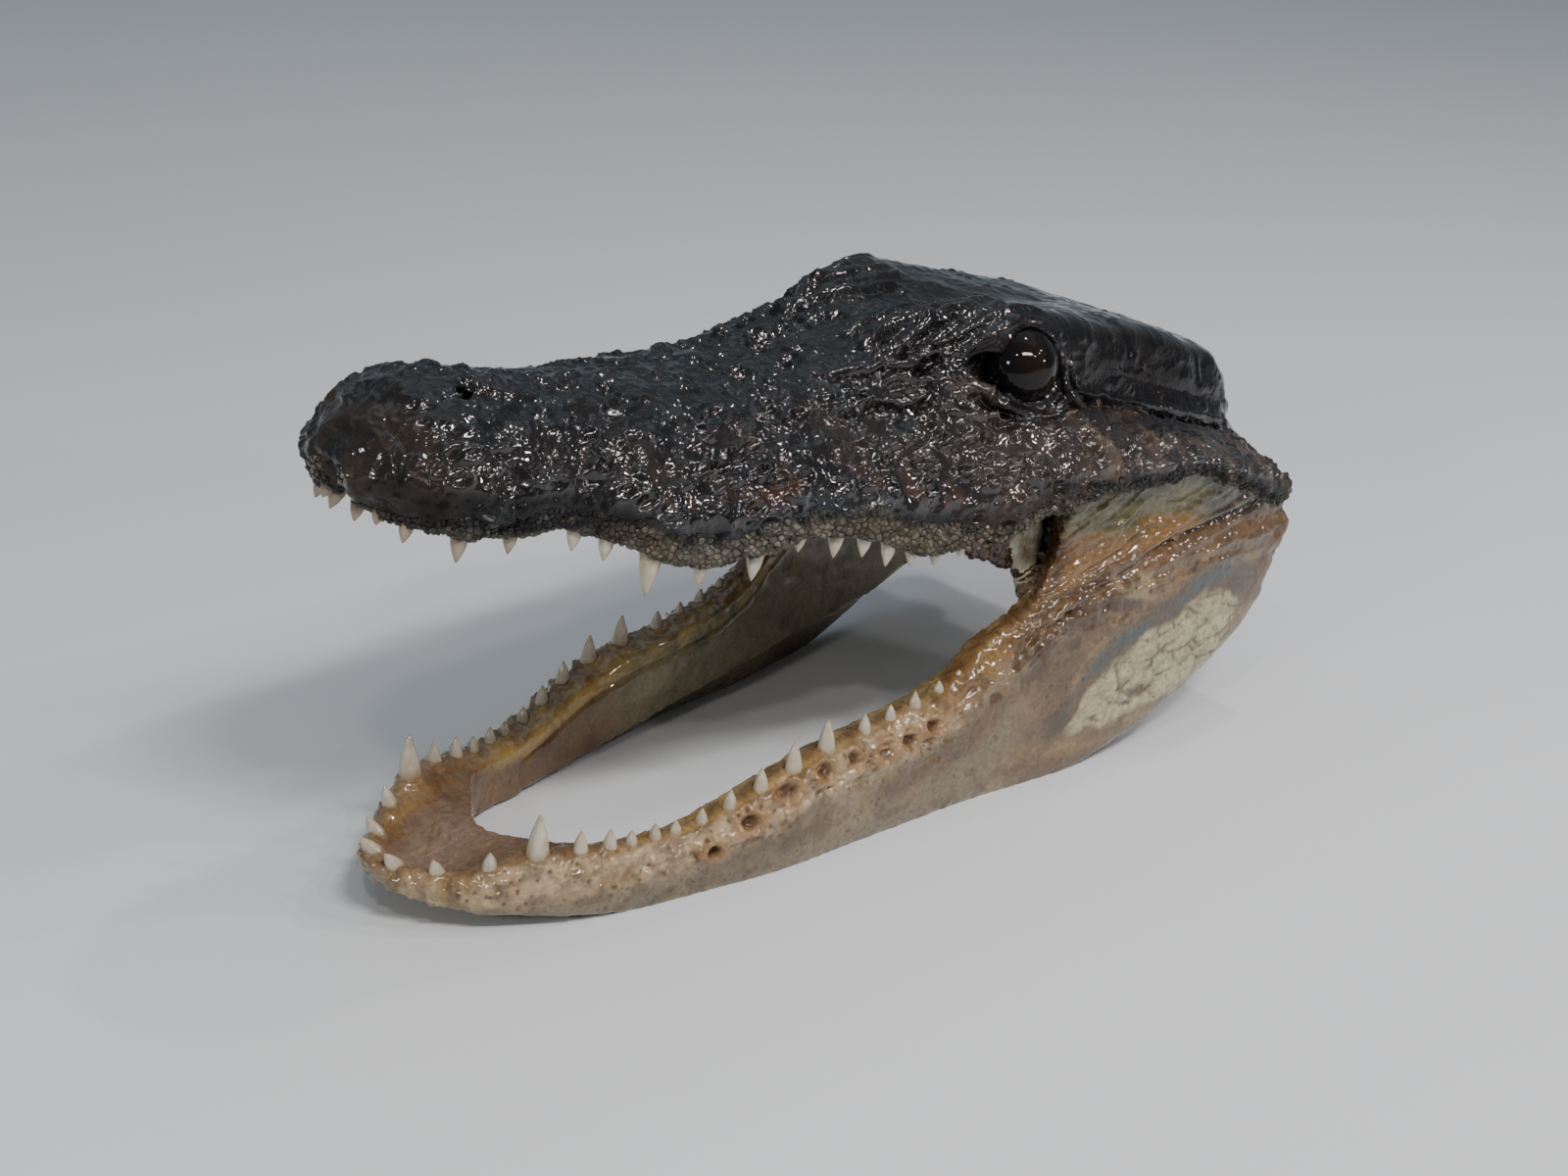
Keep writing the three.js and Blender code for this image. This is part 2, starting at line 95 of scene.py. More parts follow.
def window(low, high, soft, value):
    return step(low - soft, low + soft, value) * (1 - step(high - soft, high + soft, value))


def bell(value, width):
    return np.exp(-((value / width) ** 2))


def hashed(cell, seed):
    n = (cell[..., 0] * 374761393 + cell[..., 1] * 668265263 + cell[..., 2] * 2147483647
         + seed * 974634777)
    n = n.astype(np.int64) & 0xFFFFFFFF
    n = ((n ^ (n >> 13)) * 1274126177) & 0xFFFFFFFF
    n = ((n ^ (n >> 16)) * 2246822519) & 0xFFFFFFFF
    return ((n ^ (n >> 15)) & 0xFFFFFF) / float(0xFFFFFF)


def noise(p, size, seed=0):
    """Smooth noise from -1 to 1 with features of the given size."""
    q = np.asarray(p) / size
    base = np.floor(q).astype(np.int64)
    f = q - base
    w = f * f * f * (f * (f * 6 - 15) + 10)
    total = np.zeros(len(q))
    for i in (0, 1):
        for j in (0, 1):
            for k in (0, 1):
                corner = hashed(base + np.array([i, j, k]), seed)
                weight = (np.where(i, w[:, 0], 1 - w[:, 0]) * np.where(j, w[:, 1], 1 - w[:, 1])
                          * np.where(k, w[:, 2], 1 - w[:, 2]))
                total += corner * weight
    return total * 2 - 1


def drawn(p, x, y=1.0):
    """Points squeezed along the head, so that a pattern over them is drawn out."""
    return p * np.array([x, y, 1])


def layered(p, size, seed=0, layers=3):
    return sum(noise(p, size / 2.1**k, seed + 17 * k) / 1.9**k for k in range(layers)) / 1.75


def ridged(p, size, seed=0):
    return 1 - 2 * np.abs(noise(p, size, seed))


def crumple(p, size, seed=0):
    """Softly crested wrinkles, -1 in the hollows to about 0.8 on the crests."""
    warped = p + 0.28 * size * np.stack([noise(p, size, seed + k) for k in (1, 2, 3)], axis=1)
    return 1 - 2 * np.sqrt(noise(warped, size, seed) ** 2 + 0.004)


def cells(p, size, seed=0, where=None):
    """Distances to the nearest and the second nearest of scattered points. Both are 9 outside of where."""
    p = np.asarray(p)
    if where is not None:
        pick = np.flatnonzero(where > 1e-3)
        near, far = np.full(len(p), 9.0), np.full(len(p), 9.0)
        if len(pick):
            near[pick], far[pick] = cells(p[pick], size, seed)
        return near, far
    q = p / size
    base = np.floor(q).astype(np.int64)
    first = np.full(len(q), 9.0)
    second = np.full(len(q), 9.0)
    for i in (-1, 0, 1):
        for j in (-1, 0, 1):
            for k in (-1, 0, 1):
                cell = base + np.array([i, j, k])
                point = cell + np.stack([hashed(cell, seed + d) for d in (1, 2, 3)], axis=-1)
                d = np.linalg.norm(point - q, axis=1)
                second = np.minimum(second, np.maximum(first, d))
                first = np.minimum(first, d)
    return first, second


def from_skull(s, y, z):
    x = SKULL_X + TOOTH_FOUR_X + s * math.cos(GAPE) - z * math.sin(GAPE)
    return np.stack(np.broadcast_arrays(x, y, HINGE_Z + s * math.sin(GAPE) + z * math.cos(GAPE)), axis=-1)


def on_side(points, side):
    """Points of the left side in the skull frame, brought to one side of the model."""
    s, y, z = np.moveaxis(np.asarray(points, float), -1, 0)
    return from_skull(s, side * y, z)


def to_skull(p):
    dx = p[:, 0] - TOOTH_FOUR_X - SKULL_X
    dz = p[:, 2] - HINGE_Z
    s = dx * math.cos(GAPE) + dz * math.sin(GAPE)
    return s, p[:, 1], dz * math.cos(GAPE) - dx * math.sin(GAPE)


def path_distance(p, path):
    """Distance to a line through points, how far along it (0 to 1), and which side by height."""
    best = np.full(len(p), 1e9)
    share = np.zeros(len(p))
    side = np.zeros(len(p))
    path = np.array(path, float)
    lengths = np.linalg.norm(np.diff(path, axis=0), axis=1)
    done = np.concatenate([[0], np.cumsum(lengths)])
    for i, (a, b) in enumerate(zip(path[:-1], path[1:])):
        t = np.clip(((p - a) @ (b - a)) / lengths[i] ** 2, 0, 1)
        offset = p - (a + t[:, None] * (b - a))
        d = np.linalg.norm(offset, axis=1)
        near = d < best
        best = np.where(near, d, best)
        share = np.where(near, (done[i] + t * lengths[i]) / done[-1], share)
        side = np.where(near, offset[:, 2], side)
    return best, share, side


# ---- Curves of the head, the same as the solids' ----
UPPER_REAR, UPPER_TIP = -38.0, 200.3
JAW_TIP, JAW_REAR, SYMPHYSIS = 26.4, -200.5, -3.2
EYE = np.array([44.6, 26.4, 23.0])
EYE_RADIUS = 9.0
EYE_CORNER = (55.5, 28.6, 21.0)       # middle of the hollow in front of the eye
NOSTRIL = np.array([179.5, 8.4, 2.2])
LIP_WIDTH, GUM_RISE = 2.6, 1.4

upper_half_width = along(
    (-38, 49.5), (-20, 52), (20, 48.5), (60, 43.5), (95, 40), (125, 36.5), (145, 32), (162, 27.4),
    (175, 26), (183, 24.6), (189, 21.6), (193.5, 17.2), (197, 11.8), (199.4, 6), (200.3, 1.8))
upper_tooth_line = along(
    (-38, 46), (-10, 47.5), (9, 46.5), (35, 43.2), (60, 40.5), (92, 37.4), (119, 34.2), (131, 32.2),
    (142, 29.4), (151, 26), (158, 23.4), (164, 21.9), (172, 22.1), (182.5, 20.3), (187, 17.4),
    (190.5, 13.6), (193, 8.2), (194.4, 2.6))
crown = along(
    (-38, 24), (-34, 29), (-27, 33), (0, 35), (20, 34), (34, 31.6), (46, 29.4), (60, 27.8), (76, 23.6),
    (88, 18.4), (98, 14.2), (108, 11.2), (121, 8.8), (134, 7), (144, 5.2), (154, 4), (165, 3.4),
    (175, 3.4), (183, 2.8), (188.5, 1.2), (192.5, -1.4), (195.6, -4.8), (198.2, -8.6), (199.7, -11.8),
    (200.3, -14))
lip = along(
    (-38, 2), (-31, 2.8), (-19, 4.7), (-1.7, 7.6), (12, 3.9), (24, 1), (34, -2.5), (44, -5.9),
    (53, -11.6), (60, -14.1), (70, -15.7), (80, -15.9), (95, -14), (103, -14.7), (109, -15.2),
    (117.5, -19), (124, -21.4), (138, -23.2), (147, -21.3), (156, -20), (163, -19.4), (172, -21.4),
    (183, -22.6), (191, -23.2), (194.8, -22.6), (197.4, -20.8), (199.3, -18.2), (200.3, -16))
roof = along(
    (-38, 6), (-20, 2), (0, -5), (20, -10), (40, -11), (60, -9.5), (90, -9), (130, -14), (160, -15.5),
    (187, -17.5), (196, -17.5), (200.3, -15))
shoulder_out = along((-38, 0.46), (0, 0.5), (45, 0.57), (62, 0.5), (76, 0.4), (205, 0.4))
shoulder_down = along(
    (-38, 0.05), (0, 0.02), (20, -0.01), (46, -0.15), (60, -0.06), (80, 0.03), (205, 0.06))
flank_out = along((-38, 0.62), (0, 0.62), (44, 0.74), (62, 0.72), (95, 0.7), (205, 0.78))
flank_down = along((-38, 0.5), (0, 0.6), (20, 0.52), (44, 0.4), (62, 0.36), (95, 0.28), (205, 0.25))
bulge_up = along((-38, 0.2), (0, 0.16), (44, 0.28), (95, 0.3), (160, 0.36), (205, 0.42))
gum_width = along((-38, 10), (40, 8), (185, 5.5), (194, 3), (200.3, 0.8))

tooth_line = along(
    (-200.5, 49), (-160, 46), (-130, 41), (-105, 37.9), (-78, 35.6), (-58, 35.2), (-36, 31.2),
    (-20, 28), (-8.3, 26), (0, 22.8), (8.1, 18.4), (15.2, 12.4), (21.4, 5), (23.4, 0.4))
jaw_outer = along(
    (-200.5, 51.6), (-185, 51.6), (-160, 50), (-140, 47), (-121, 43.8), (-105, 41.2), (-79.5, 39.6),
    (-54, 38), (-36, 34.6), (-26, 32.4), (-16.5, 30.6), (-8, 28.6), (0, 25.6), (9, 20.6), (15, 15.8),
    (20, 10.8), (23.4, 6.2), (25.4, 3), (26.4, 1))
rim = along(
    (-200.5, 50.4), (-196, 51.4), (-190, 52), (-173, 52.2), (-155, 51), (-141, 48.5), (-130, 45.4),
    (-122, 40.5), (-112, 35.5), (-105, 30), (-92.7, 25.9), (-78, 23.6), (-67, 22.8), (-58, 21),
    (-50, 18.8), (-42, 16), (-30, 13.4), (-20, 13.4), (-8, 15), (0, 16), (8, 13.8), (15, 12.4),
    (21.4, 13), (25, 14.2), (26.4, 14.4))
keel = along(
    (-200.5, 44.5), (-198.5, 38), (-196, 32), (-191, 25), (-181, 18), (-172, 13), (-160, 7.4),
    (-151, 4), (-140, 1), (-128, -0.7), (-112, -1.2), (-50, -1.2), (-26, -0.9), (-16, -0.1), (-7, 1.6),
    (5, 3.7), (13, 5), (19, 6.8), (24, 9.4), (26.4, 12.4))
inner_keel = along(
    (-200.5, 46), (-195, 38), (-185, 26), (-172, 19), (-159, 13.5), (-151, 11.4), (-129, 10),
    (-102, 8.6), (-82, 6), (-70, 4), (-53, 1.6), (-33, 0.8), (-16, 1.4), (-7, 2.8), (5, 4.8), (19, 7.6),
    (24, 10), (26.4, 13))
wall = along(
    (-200.5, 17), (-185, 15), (-160, 11.5), (-120, 9.5), (-90, 10.5), (-50, 10), (-20, 9.2), (-5.2, 12))


# ---- Meshes ----
def spline(points, count):
    """Evenly parametrised Catmull-Rom curve through points, for many sections at once."""
    n = len(points)
    t = np.linspace(0, n - 1, count)
    i = np.minimum(t.astype(int), n - 2)
    w = (t - i)[:, None, None]
    p1, p2 = points[i], points[i + 1]
    p0 = points[np.maximum(i - 1, 0)]
    p3 = points[np.minimum(i + 2, n - 1)]
    v0, v1 = (p2 - p0) / 2, (p3 - p1) / 2
    return (2 * p1 - 2 * p2 + v0 + v1) * w**3 + (-3 * p1 + 3 * p2 - 2 * v0 - v1) * w**2 + v0 * w + p1


def loft(rings):
    """Vertices and faces of a closed body through rings of shape (rings, points, 3)."""
    count, sides = rings.shape[:2]
    verts = rings.reshape(-1, 3)
    r, c = np.meshgrid(np.arange(count - 1), np.arange(sides), indexing="ij")
    a = (r * sides + c).ravel()
    b = (r * sides + (c + 1) % sides).ravel()
    faces = np.stack([a, b, b + sides, a + sides], axis=1).tolist()
    for ring in (0, count - 1):
        centre = len(verts)
        verts = np.vstack([verts, rings[ring].mean(axis=0)])
        k = ring * sides + np.arange(sides)
        nxt = ring * sides + (np.arange(sides) + 1) % sides
        pair = (nxt, k) if ring == 0 else (k, nxt)
        faces += [[int(i), int(j), centre] for i, j in zip(*pair)]
    return verts, faces


def placed(name, data):
    obj = bpy.data.objects.new(name, data)
    bpy.context.scene.collection.objects.link(obj)
    return obj


def store(name, verts, faces, scale=1.0):
    mesh = bpy.data.meshes.new(name)
    mesh.from_pydata((np.asarray(verts) * scale).tolist(), [], faces)
    mesh.update()
    return placed(name, mesh)


def faced_out(obj):
    shape = bmesh.new()
    shape.from_mesh(obj.data)
    bmesh.ops.recalc_face_normals(shape, faces=shape.faces)
    shape.to_mesh(obj.data)
    shape.free()
    return obj


def baked(obj, *modifiers):
    """The object with modifiers applied: each is (kind, settings)."""
    for kind, settings in modifiers:
        modifier = obj.modifiers.new(kind, kind)
        for key, value in settings.items():
            setattr(modifier, key, value)
    graph = bpy.context.evaluated_depsgraph_get()
    mesh = bpy.data.meshes.new_from_object(obj.evaluated_get(graph))
    obj.modifiers.clear()
    old = obj.data
    obj.data = mesh
    bpy.data.meshes.remove(old)
    return obj


def pulled(items, key, width, kind=float):
    """One property of many mesh elements, in rows of the given width."""
    out = np.empty(len(items) * max(width, 1), dtype=kind)
    items.foreach_get(key, out)
    return out.reshape(-1, width) if width else out


def points_of(mesh):
    return pulled(mesh.vertices, "co", 3)


def set_points(mesh, points):
    mesh.vertices.foreach_set("co", np.ascontiguousarray(points).ravel())
    mesh.update()


def normals_of(mesh):
    return pulled(mesh.vertex_normals, "vector", 3)


def edges_of(mesh):
    return pulled(mesh.edges, "vertices", 2, np.int32)


def corners_of(mesh):
    """The vertex of each face corner."""
    return pulled(mesh.loops, "vertex_index", 0, np.int32)


def smoothed(points, edges, rounds, share=0.5):
    degree = np.bincount(edges.ravel(), minlength=len(points))[:, None].clip(1)
    for _ in range(rounds):
        total = np.zeros_like(points)
        for axis in range(points.shape[1]):
            total[:, axis] = (np.bincount(edges[:, 0], points[edges[:, 1], axis], len(points))
                              + np.bincount(edges[:, 1], points[edges[:, 0], axis], len(points)))
        points = points + share * (total / degree - points)
    return points


def half_to_ring(half):
    """half: (points, sections, 3) from the middle of the top to the middle of the underside."""
    mirror = half[1:-1][::-1] * np.array([1, -1, 1])
    return np.concatenate([half, mirror]).transpose(1, 0, 2)


def upper_body():
    place = np.concatenate([np.linspace(UPPER_REAR, 184, 240), np.linspace(184.5, 198, 28),
                            [198.7, 199.3, 199.8, UPPER_TIP]])
    width, top, low = upper_half_width(place), crown(place), lip(place)
    height = top - low
    lip_y = np.minimum(width - 0.8, upper_tooth_line(place) + LIP_WIDTH)
    zero = np.zeros_like(place)
    turns = np.array([
        [zero, top],
        [width * shoulder_out(place), top - height * shoulder_down(place)],
        [width * flank_out(place), top - height * flank_down(place)],
        [width, low + height * bulge_up(place)],
        [lip_y, low],
    ]).transpose(0, 2, 1)
    outer = spline(turns, 64)
    inner = np.array([
        [lip_y, low],
        [lip_y - gum_width(place) * 0.35, low + GUM_RISE * 0.5],
        [lip_y - gum_width(place), low + GUM_RISE + 0.2],
        [0.62 * lip_y - 1, np.maximum(roof(place) - 1.5, low + GUM_RISE)],
        [zero, roof(place)],
    ]).transpose(0, 2, 1)
    half = np.concatenate([outer, spline(inner, 24)[1:]])
    s = np.broadcast_to(place, half.shape[:2])
    points = from_skull(s, half[..., 0], half[..., 1])
    return store("upper", *loft(half_to_ring(points)))


def inside(place):
    return np.maximum(jaw_outer(place) - wall(place), 0.6)


def lower_body():
    place = np.concatenate([np.linspace(JAW_REAR, -186, 30), np.linspace(-185, 16, 200),
                            np.linspace(16.7, 25.7, 16), [26.1, JAW_TIP]])
    width, low, high = jaw_outer(place), keel(place), rim(place)
    teeth_y = np.minimum(tooth_line(place), width - 0.6)
    height = high - low
    floor = high - np.minimum(3, 0.4 * height)
    zero = np.zeros_like(place)
    turns = np.array([
        [zero, floor],
        [teeth_y * 0.55, floor + 0.3],
        [teeth_y * 0.88, high - 0.2],
        [teeth_y, high],
        [teeth_y + (width - teeth_y) * 0.75, high - height * 0.16],
        [width, high - height * 0.45],
        [width * 0.995, low + height * 0.22],
        [width * 0.975, low + height * 0.06],
        [width * 0.92, low],
        [np.maximum(width - wall(place), 0.3 * width) * 0.98, inner_keel(place)],
        [zero, inner_keel(place)],
    ]).transpose(0, 2, 1)
    half = spline(turns, 80)
    x = np.broadcast_to(place + TOOTH_FOUR_X, half.shape[:2])
    return store("lower", *loft(half_to_ring(np.stack([x, half[..., 0], half[..., 1]], axis=-1))))


def floor_wedge():
    place = np.concatenate([[-230, -215, JAW_REAR], np.linspace(-190, -20, 40),
                            np.linspace(-14, SYMPHYSIS, 12)])
    half = inside(np.maximum(place, JAW_REAR))
    notch = np.where(place > -14, np.sqrt((SYMPHYSIS - place + 0.1) / (SYMPHYSIS + 14)), 1)
    open_y = np.maximum(half * notch, 0.4)
    rings = np.stack([
        np.stack([place + TOOTH_FOUR_X, side * open_y * lean, np.full_like(place, z)], axis=-1)
        for side, z, lean in ((1, 200, 1.02), (-1, 200, 1.02), (-1, -20, 0.98), (1, -20, 0.98))
    ], axis=1)
    return store("wedge", *loft(rings))


def ball(name, centre, radii, turn=0.0, segments=48):
    shape = bmesh.new()
    bmesh.ops.create_uvsphere(shape, u_segments=segments, v_segments=segments // 2, radius=1)
    mesh = bpy.data.meshes.new(name)
    shape.to_mesh(mesh)
    shape.free()
    pitch = Matrix.Rotation(-turn, 4, "Y")
    mesh.transform(Matrix.Translation(Vector(centre)) @ pitch @ Matrix.Diagonal((*radii, 1)))
    return placed(name, mesh)


cheek_thickness = along((0, 2.2), (0.5, 2.6), (0.8, 4.2), (1, 9))


def cheek_body(side):
    back = np.linspace(0, 1, 70)
    upper_place, lower_place = 34 - 71.7 * back, -124 - 76.2 * back
    upper = from_skull(upper_place, upper_tooth_line(upper_place) + LIP_WIDTH * (0.1 + 0.8 * back),
                       lip(upper_place) + 2.2)
    lower = np.stack([lower_place + TOOTH_FOUR_X, tooth_line(lower_place) + 1.6 * back,
                      rim(lower_place) - 2.6], axis=-1)
    share = np.linspace(0, 1, 40)
    column = lower[None] + share[:, None, None] * (upper - lower)[None]
    sag = np.sin(np.pi * share)[:, None] * (1 - back)[None] ** 2
    column[..., 0] -= 5 * sag
    column[..., 1] -= 1.5 * sag
    column[..., 1] += 0.2
    depth = np.zeros_like(column)
    depth[..., 1] = cheek_thickness(back)[None]
    rings = np.concatenate([column, (column - depth)[::-1]]).transpose(1, 0, 2)
    return store("cheek", *loft(rings * np.array([1, side, 1])))


def cut(obj, *tools):
    for tool in tools:
        faced_out(tool)
        baked(obj, ("BOOLEAN", {"operation": "DIFFERENCE", "object": tool, "solver": "MANIFOLD"}))
        bpy.data.objects.remove(tool)
    return obj


def merged(bodies):
    """The vertices and faces of several bodies in one list each."""
    verts, faces = [], []
    for points, sides in bodies:
        base = sum(len(v) for v in verts)
        verts.append(points)
        faces += [[base + i for i in face] for face in sides]
    return np.vstack(verts), faces


def joined(name, objects):
    verts, faces = merged([(points_of(obj.data), [f.vertices for f in obj.data.polygons])
                           for obj in objects])
    for obj in objects:
        bpy.data.objects.remove(obj)
    return store(name, verts, faces)


# ---- Folds and creases: line in the skull frame, depth, width, and lift of the edge above it ----
FOLDS = {
    "ear": ([(36, 33, 19.6), (34.7, 32.8, 19.5), (28, 33.5, 18.4), (18.4, 33.1, 18.1),
        (8.8, 32.9, 17.8), (0.7, 34.1, 17.3), (-12, 34.9, 17), (-24, 34.5, 15.5), (-36, 33, 13)], 2.8,
        1.0, 1.3),
    "under_eye": ([(66.4, 24.1, 20.9), (62, 27.7, 18.6), (57.8, 30.4, 15.4), (51.8, 33.2, 12.9),
        (42, 35.8, 12.3), (33, 36, 14.2), (27.2, 35, 16.2)], 0.9, 0.8, 0.7),
    "loop_top": ([(96, 19, 13), (86.1, 20.8, 15.9), (79.5, 22.3, 17.2), (74.3, 24, 17.7),
        (70.9, 23.3, 20.6), (64, 24.4, 24)], 1.3, 0.8, 1.0),
    "loop_low": ([(92, 27, 8.5), (87.7, 26.6, 10.6), (77.5, 29.2, 11), (72.1, 28.3, 13.5),
        (72.6, 26.2, 15.8), (76.9, 24.8, 15.7), (84, 24, 14)], 1.2, 0.7, 0.9),
    "loop_side": ([(82.6, 25, 13.7), (78.2, 29.1, 10.9), (75.2, 33.5, 7), (73, 36, 3)], 0.9, 0.7, 0.6),
    "front_eye": ([(70, 24, 20.4), (66, 26.5, 18.2), (61.4, 29.2, 15.5), (55.5, 32, 13.4)], 0.8, 0.7,
        0.6),
    "jugal": ([(76, 30, 9.6), (70.9, 31.2, 10.3), (57.5, 33.5, 11), (44, 35.5, 11.5),
        (27.7, 36.7, 13.2), (14, 36, 14)], 0.7, 0.9, 0.5),
    "forehead": ([(84, 10, 20), (79.9, 8.9, 21.9), (69.5, 8.1, 26.4), (62, 6.5, 28), (56.3, 7.1, 29.9),
        (47.9, 6.9, 30.8)], 1.7, 1.0, 1.1),
    "brow_front": ([(84, 17, 17.5), (78, 15.5, 21), (72, 14.5, 25), (64, 14.6, 29), (54, 14.5, 31),
        (42, 15.5, 33)], 1.9, 1.1, 1.2),
    "brow_side": ([(78, 20.5, 19), (72, 19.8, 23), (67, 19.2, 27), (60, 19.6, 30.8), (52, 20, 33.6)],
        1.5, 0.8, 1.0),
    "brow_rear": ([(30, 14, 33.4), (28, 19, 34), (27, 25, 33), (27, 29.5, 28.5)], 0.9, 1.2, 0.3),
    "temple": ([(22, 30.5, 25), (8, 30.6, 24.4), (-8, 31, 23.5), (-24, 30, 21.5)], 0.5, 1.4, 0.3),
    "cheek_one": ([(22, 38, 13), (20, 43, 8), (19, 46.5, 4)], 0.7, 0.8, 0.4),
    "cheek_two": ([(8, 38, 14), (5, 44, 10), (3, 48, 8.6)], 0.8, 0.9, 0.4),
    "cheek_three": ([(-8, 38, 14), (-10, 45, 10), (-12, 49, 7)], 0.7, 0.8, 0.4),
    "cheek_four": ([(36, 38, 11), (37, 42, 4), (39, 44, -2)], 0.6, 0.8, 0.3),
}


def fold_relief(place):
    """Relief in millimetres from every fold."""
    q = place.q
    wobble = 0.5 * np.stack([noise(q, 4, seed) for seed in (5, 6, 7)], axis=1)
    relief = np.zeros(len(q))
    for path, depth, width, lift in FOLDS.values():
        d, share, side = path_distance(q + wobble, path)
        ends = step(0, 0.12, share) * (1 - step(0.88, 1, share))
        relief -= depth * ends * bell(d, width)
        relief += lift * ends * bell(d - 2.1 * width, 1.1 * width) * np.where(side > 0, 1, 0.35)
    return relief


TUBERCLES = [
    ((8.2, 28.7, 28.5), 2.6, 1.1), ((12.4, 28, 29.6), 2, 0.8), ((4.6, 29.4, 27), 2, 0.9),
    ((60, 17, 30), 2.4, 0.9), ((66, 16.6, 28), 2, 0.9), ((71, 16, 25.5), 2, 0.8),
    ((55, 22.5, 33.2), 1.8, 0.7), ((63, 21.5, 29), 1.8, 0.8), ((86, 15, 17.4), 2.2, 0.9),
    ((91, 9, 17.4), 2.2, 0.8), ((82, 20, 17.6), 2, 0.8), ((96, 14, 14), 2.4, 0.8),
    ((49, 21, 34.4), 2.2, 0.8)]

# Under the lower teeth, where the upper ones bite, the jaw's side is pitted: jaw x, height, radius.
PITS = [
    (-44.8, 13.5, 1.9), (-54.5, 18, 1.8), (-64.5, 20, 1.7), (-72.5, 20.5, 1.6), (-81, 20, 1.7),
    (-88, 20.5, 1.6), (-94.5, 22, 1.5), (-36, 9.2, 1.5)]

UPPER_TEETH = [
    (194, 3.2), (192.9, 2.2), (190.3, 3.6), (182.6, 5.6), (172.3, 4.2), (158, 4.4), (151.6, 4.6),
    (142.3, 8), (131.4, 4.9), (119.2, 5.9), (109.1, 3.9), (99.7, 5.2), (92.1, 4.8), (85.1, 5.1),
    (78.2, 4.2), (71.4, 3.9), (64.4, 2.4), (59.4, 1.6)]
LOWER_TEETH = [
    (21.6, 5.4, 0.75, 0.2), (16.2, 5, 0.5, 0.3), (8.4, 4.8, 0.2, 0.3), (0, 9.4, 0.02, 0.12),
    (-8.3, 5.2, 0, 0.1), (-15, 4.9, 0, 0.08), (-20.1, 3.6, 0, 0.06), (-25.4, 3.8, 0, 0.06),
    (-30.1, 3.4, 0, 0.06), (-36.2, 3.7, 0, 0.06), (-42.7, 4.6, 0, 0.06), (-49.8, 5.4, 0, 0.06),
    (-58.1, 6.9, 0, 0.04), (-67.5, 7.4, 0, 0.02), (-78.5, 4.7, 0, 0), (-85.8, 3.9, 0, 0),
    (-92.7, 3.9, 0, 0), (-99.4, 3, 0, 0), (-104.9, 2, 0, 0)]


class Place:
    """What each point of the hide belongs to, by where it lies."""

    def __init__(self, p, n):
        self.p = p
        self.n = n
        self.kept = {}
        self.s, self.y, self.z = to_skull(p)
        self.out = np.abs(self.y)
        self.side = np.sign(self.y)
        self.q = np.stack([self.s, self.out, self.z], axis=1)
        self.x = p[:, 0] - TOOTH_FOUR_X
        self.above = self.z - lip(self.s)
        self.below = rim(self.x) - p[:, 2]
        jitter = 0.7 * noise(p, 3.2, 3)
        self.upper = step(-1.2, 1.2, self.above + jitter) * step(UPPER_REAR - 8, UPPER_REAR - 2, self.s)
        self.lower = step(-1.5, 1.5, self.below + jitter) * (1 - self.upper)
        self.cheek = np.clip(1 - self.upper - self.lower, 0, 1)
        inward = -n[:, 1] * self.side
        nz = n[:, 2] * math.cos(GAPE) - n[:, 0] * math.sin(GAPE)
        under = (step(0.2, 0.6, -nz) * (self.out < upper_tooth_line(self.s) + 1.2)
                 * (self.z < roof(self.s) + 9))
        forward = n[:, 0] * math.cos(GAPE) + n[:, 2] * math.sin(GAPE)
        self.palate = (self.upper * np.clip(under + step(0.45, 0.8, inward) * (self.z < roof(self.s) + 6),
                                            0, 1)
                       * (1 - step(187, 191, self.s)) * step(0.5, 0.2, forward * (self.s > 150)))
        behind = self.out < np.where(self.x < SYMPHYSIS, inside(self.x) + 1.4, tooth_line(self.x) - 1)
        top = step(0.35, 0.75, n[:, 2]) * (self.out < tooth_line(self.x) + 0.4) * (self.below < 5)
        notch = step(0.1, 0.4, -n[:, 0]) * window(-20, 0, 2, self.x) * (self.out < tooth_line(self.x) - 2)
        self.inner = self.lower * np.clip(step(0.25, 0.6, inward) * behind + top + notch, 0, 1)
        self.eye = np.linalg.norm(self.q - EYE, axis=1)
        away = self.q - NOSTRIL
        self.oblique = 0.69 * away[:, 0] + 0.72 * away[:, 1]
        self.nostril = np.sqrt((self.oblique / 2.9) ** 2
                               + ((0.72 * away[:, 0] - 0.69 * away[:, 1]) / 1.5) ** 2
                               + (away[:, 2] / 7) ** 2)


def once(place, make):
    """A field of the place, worked out on first use."""
    if make not in place.kept:
        place.kept[make] = make(place)
    return place.kept[make]


def temple_side(place):
    """The smooth side of the head behind the eye: 1 inside."""
    return window(-44, 34, 5, place.s) * step(12, 16, place.z)


def dot_field(place):
    return cells(place.p, 2.3, 77, place.lower)[0]


def pit_fields(place):
    """Depth and rim of the bite pits and gum sockets on the lower jaw."""
    hollow = np.zeros(len(place.p))
    edge = np.zeros(len(place.p))
    for x, z, radius in PITS:
        d = np.hypot((place.x - x) / 1.25, place.p[:, 2] - z)
        hollow = np.maximum(hollow, step(radius * 1.1, radius * 0.45, d))
        edge = np.maximum(edge, bell(d - radius * 1.35, radius * 0.4))
    mask = place.lower * (1 - place.inner)
    return hollow * mask, edge * mask


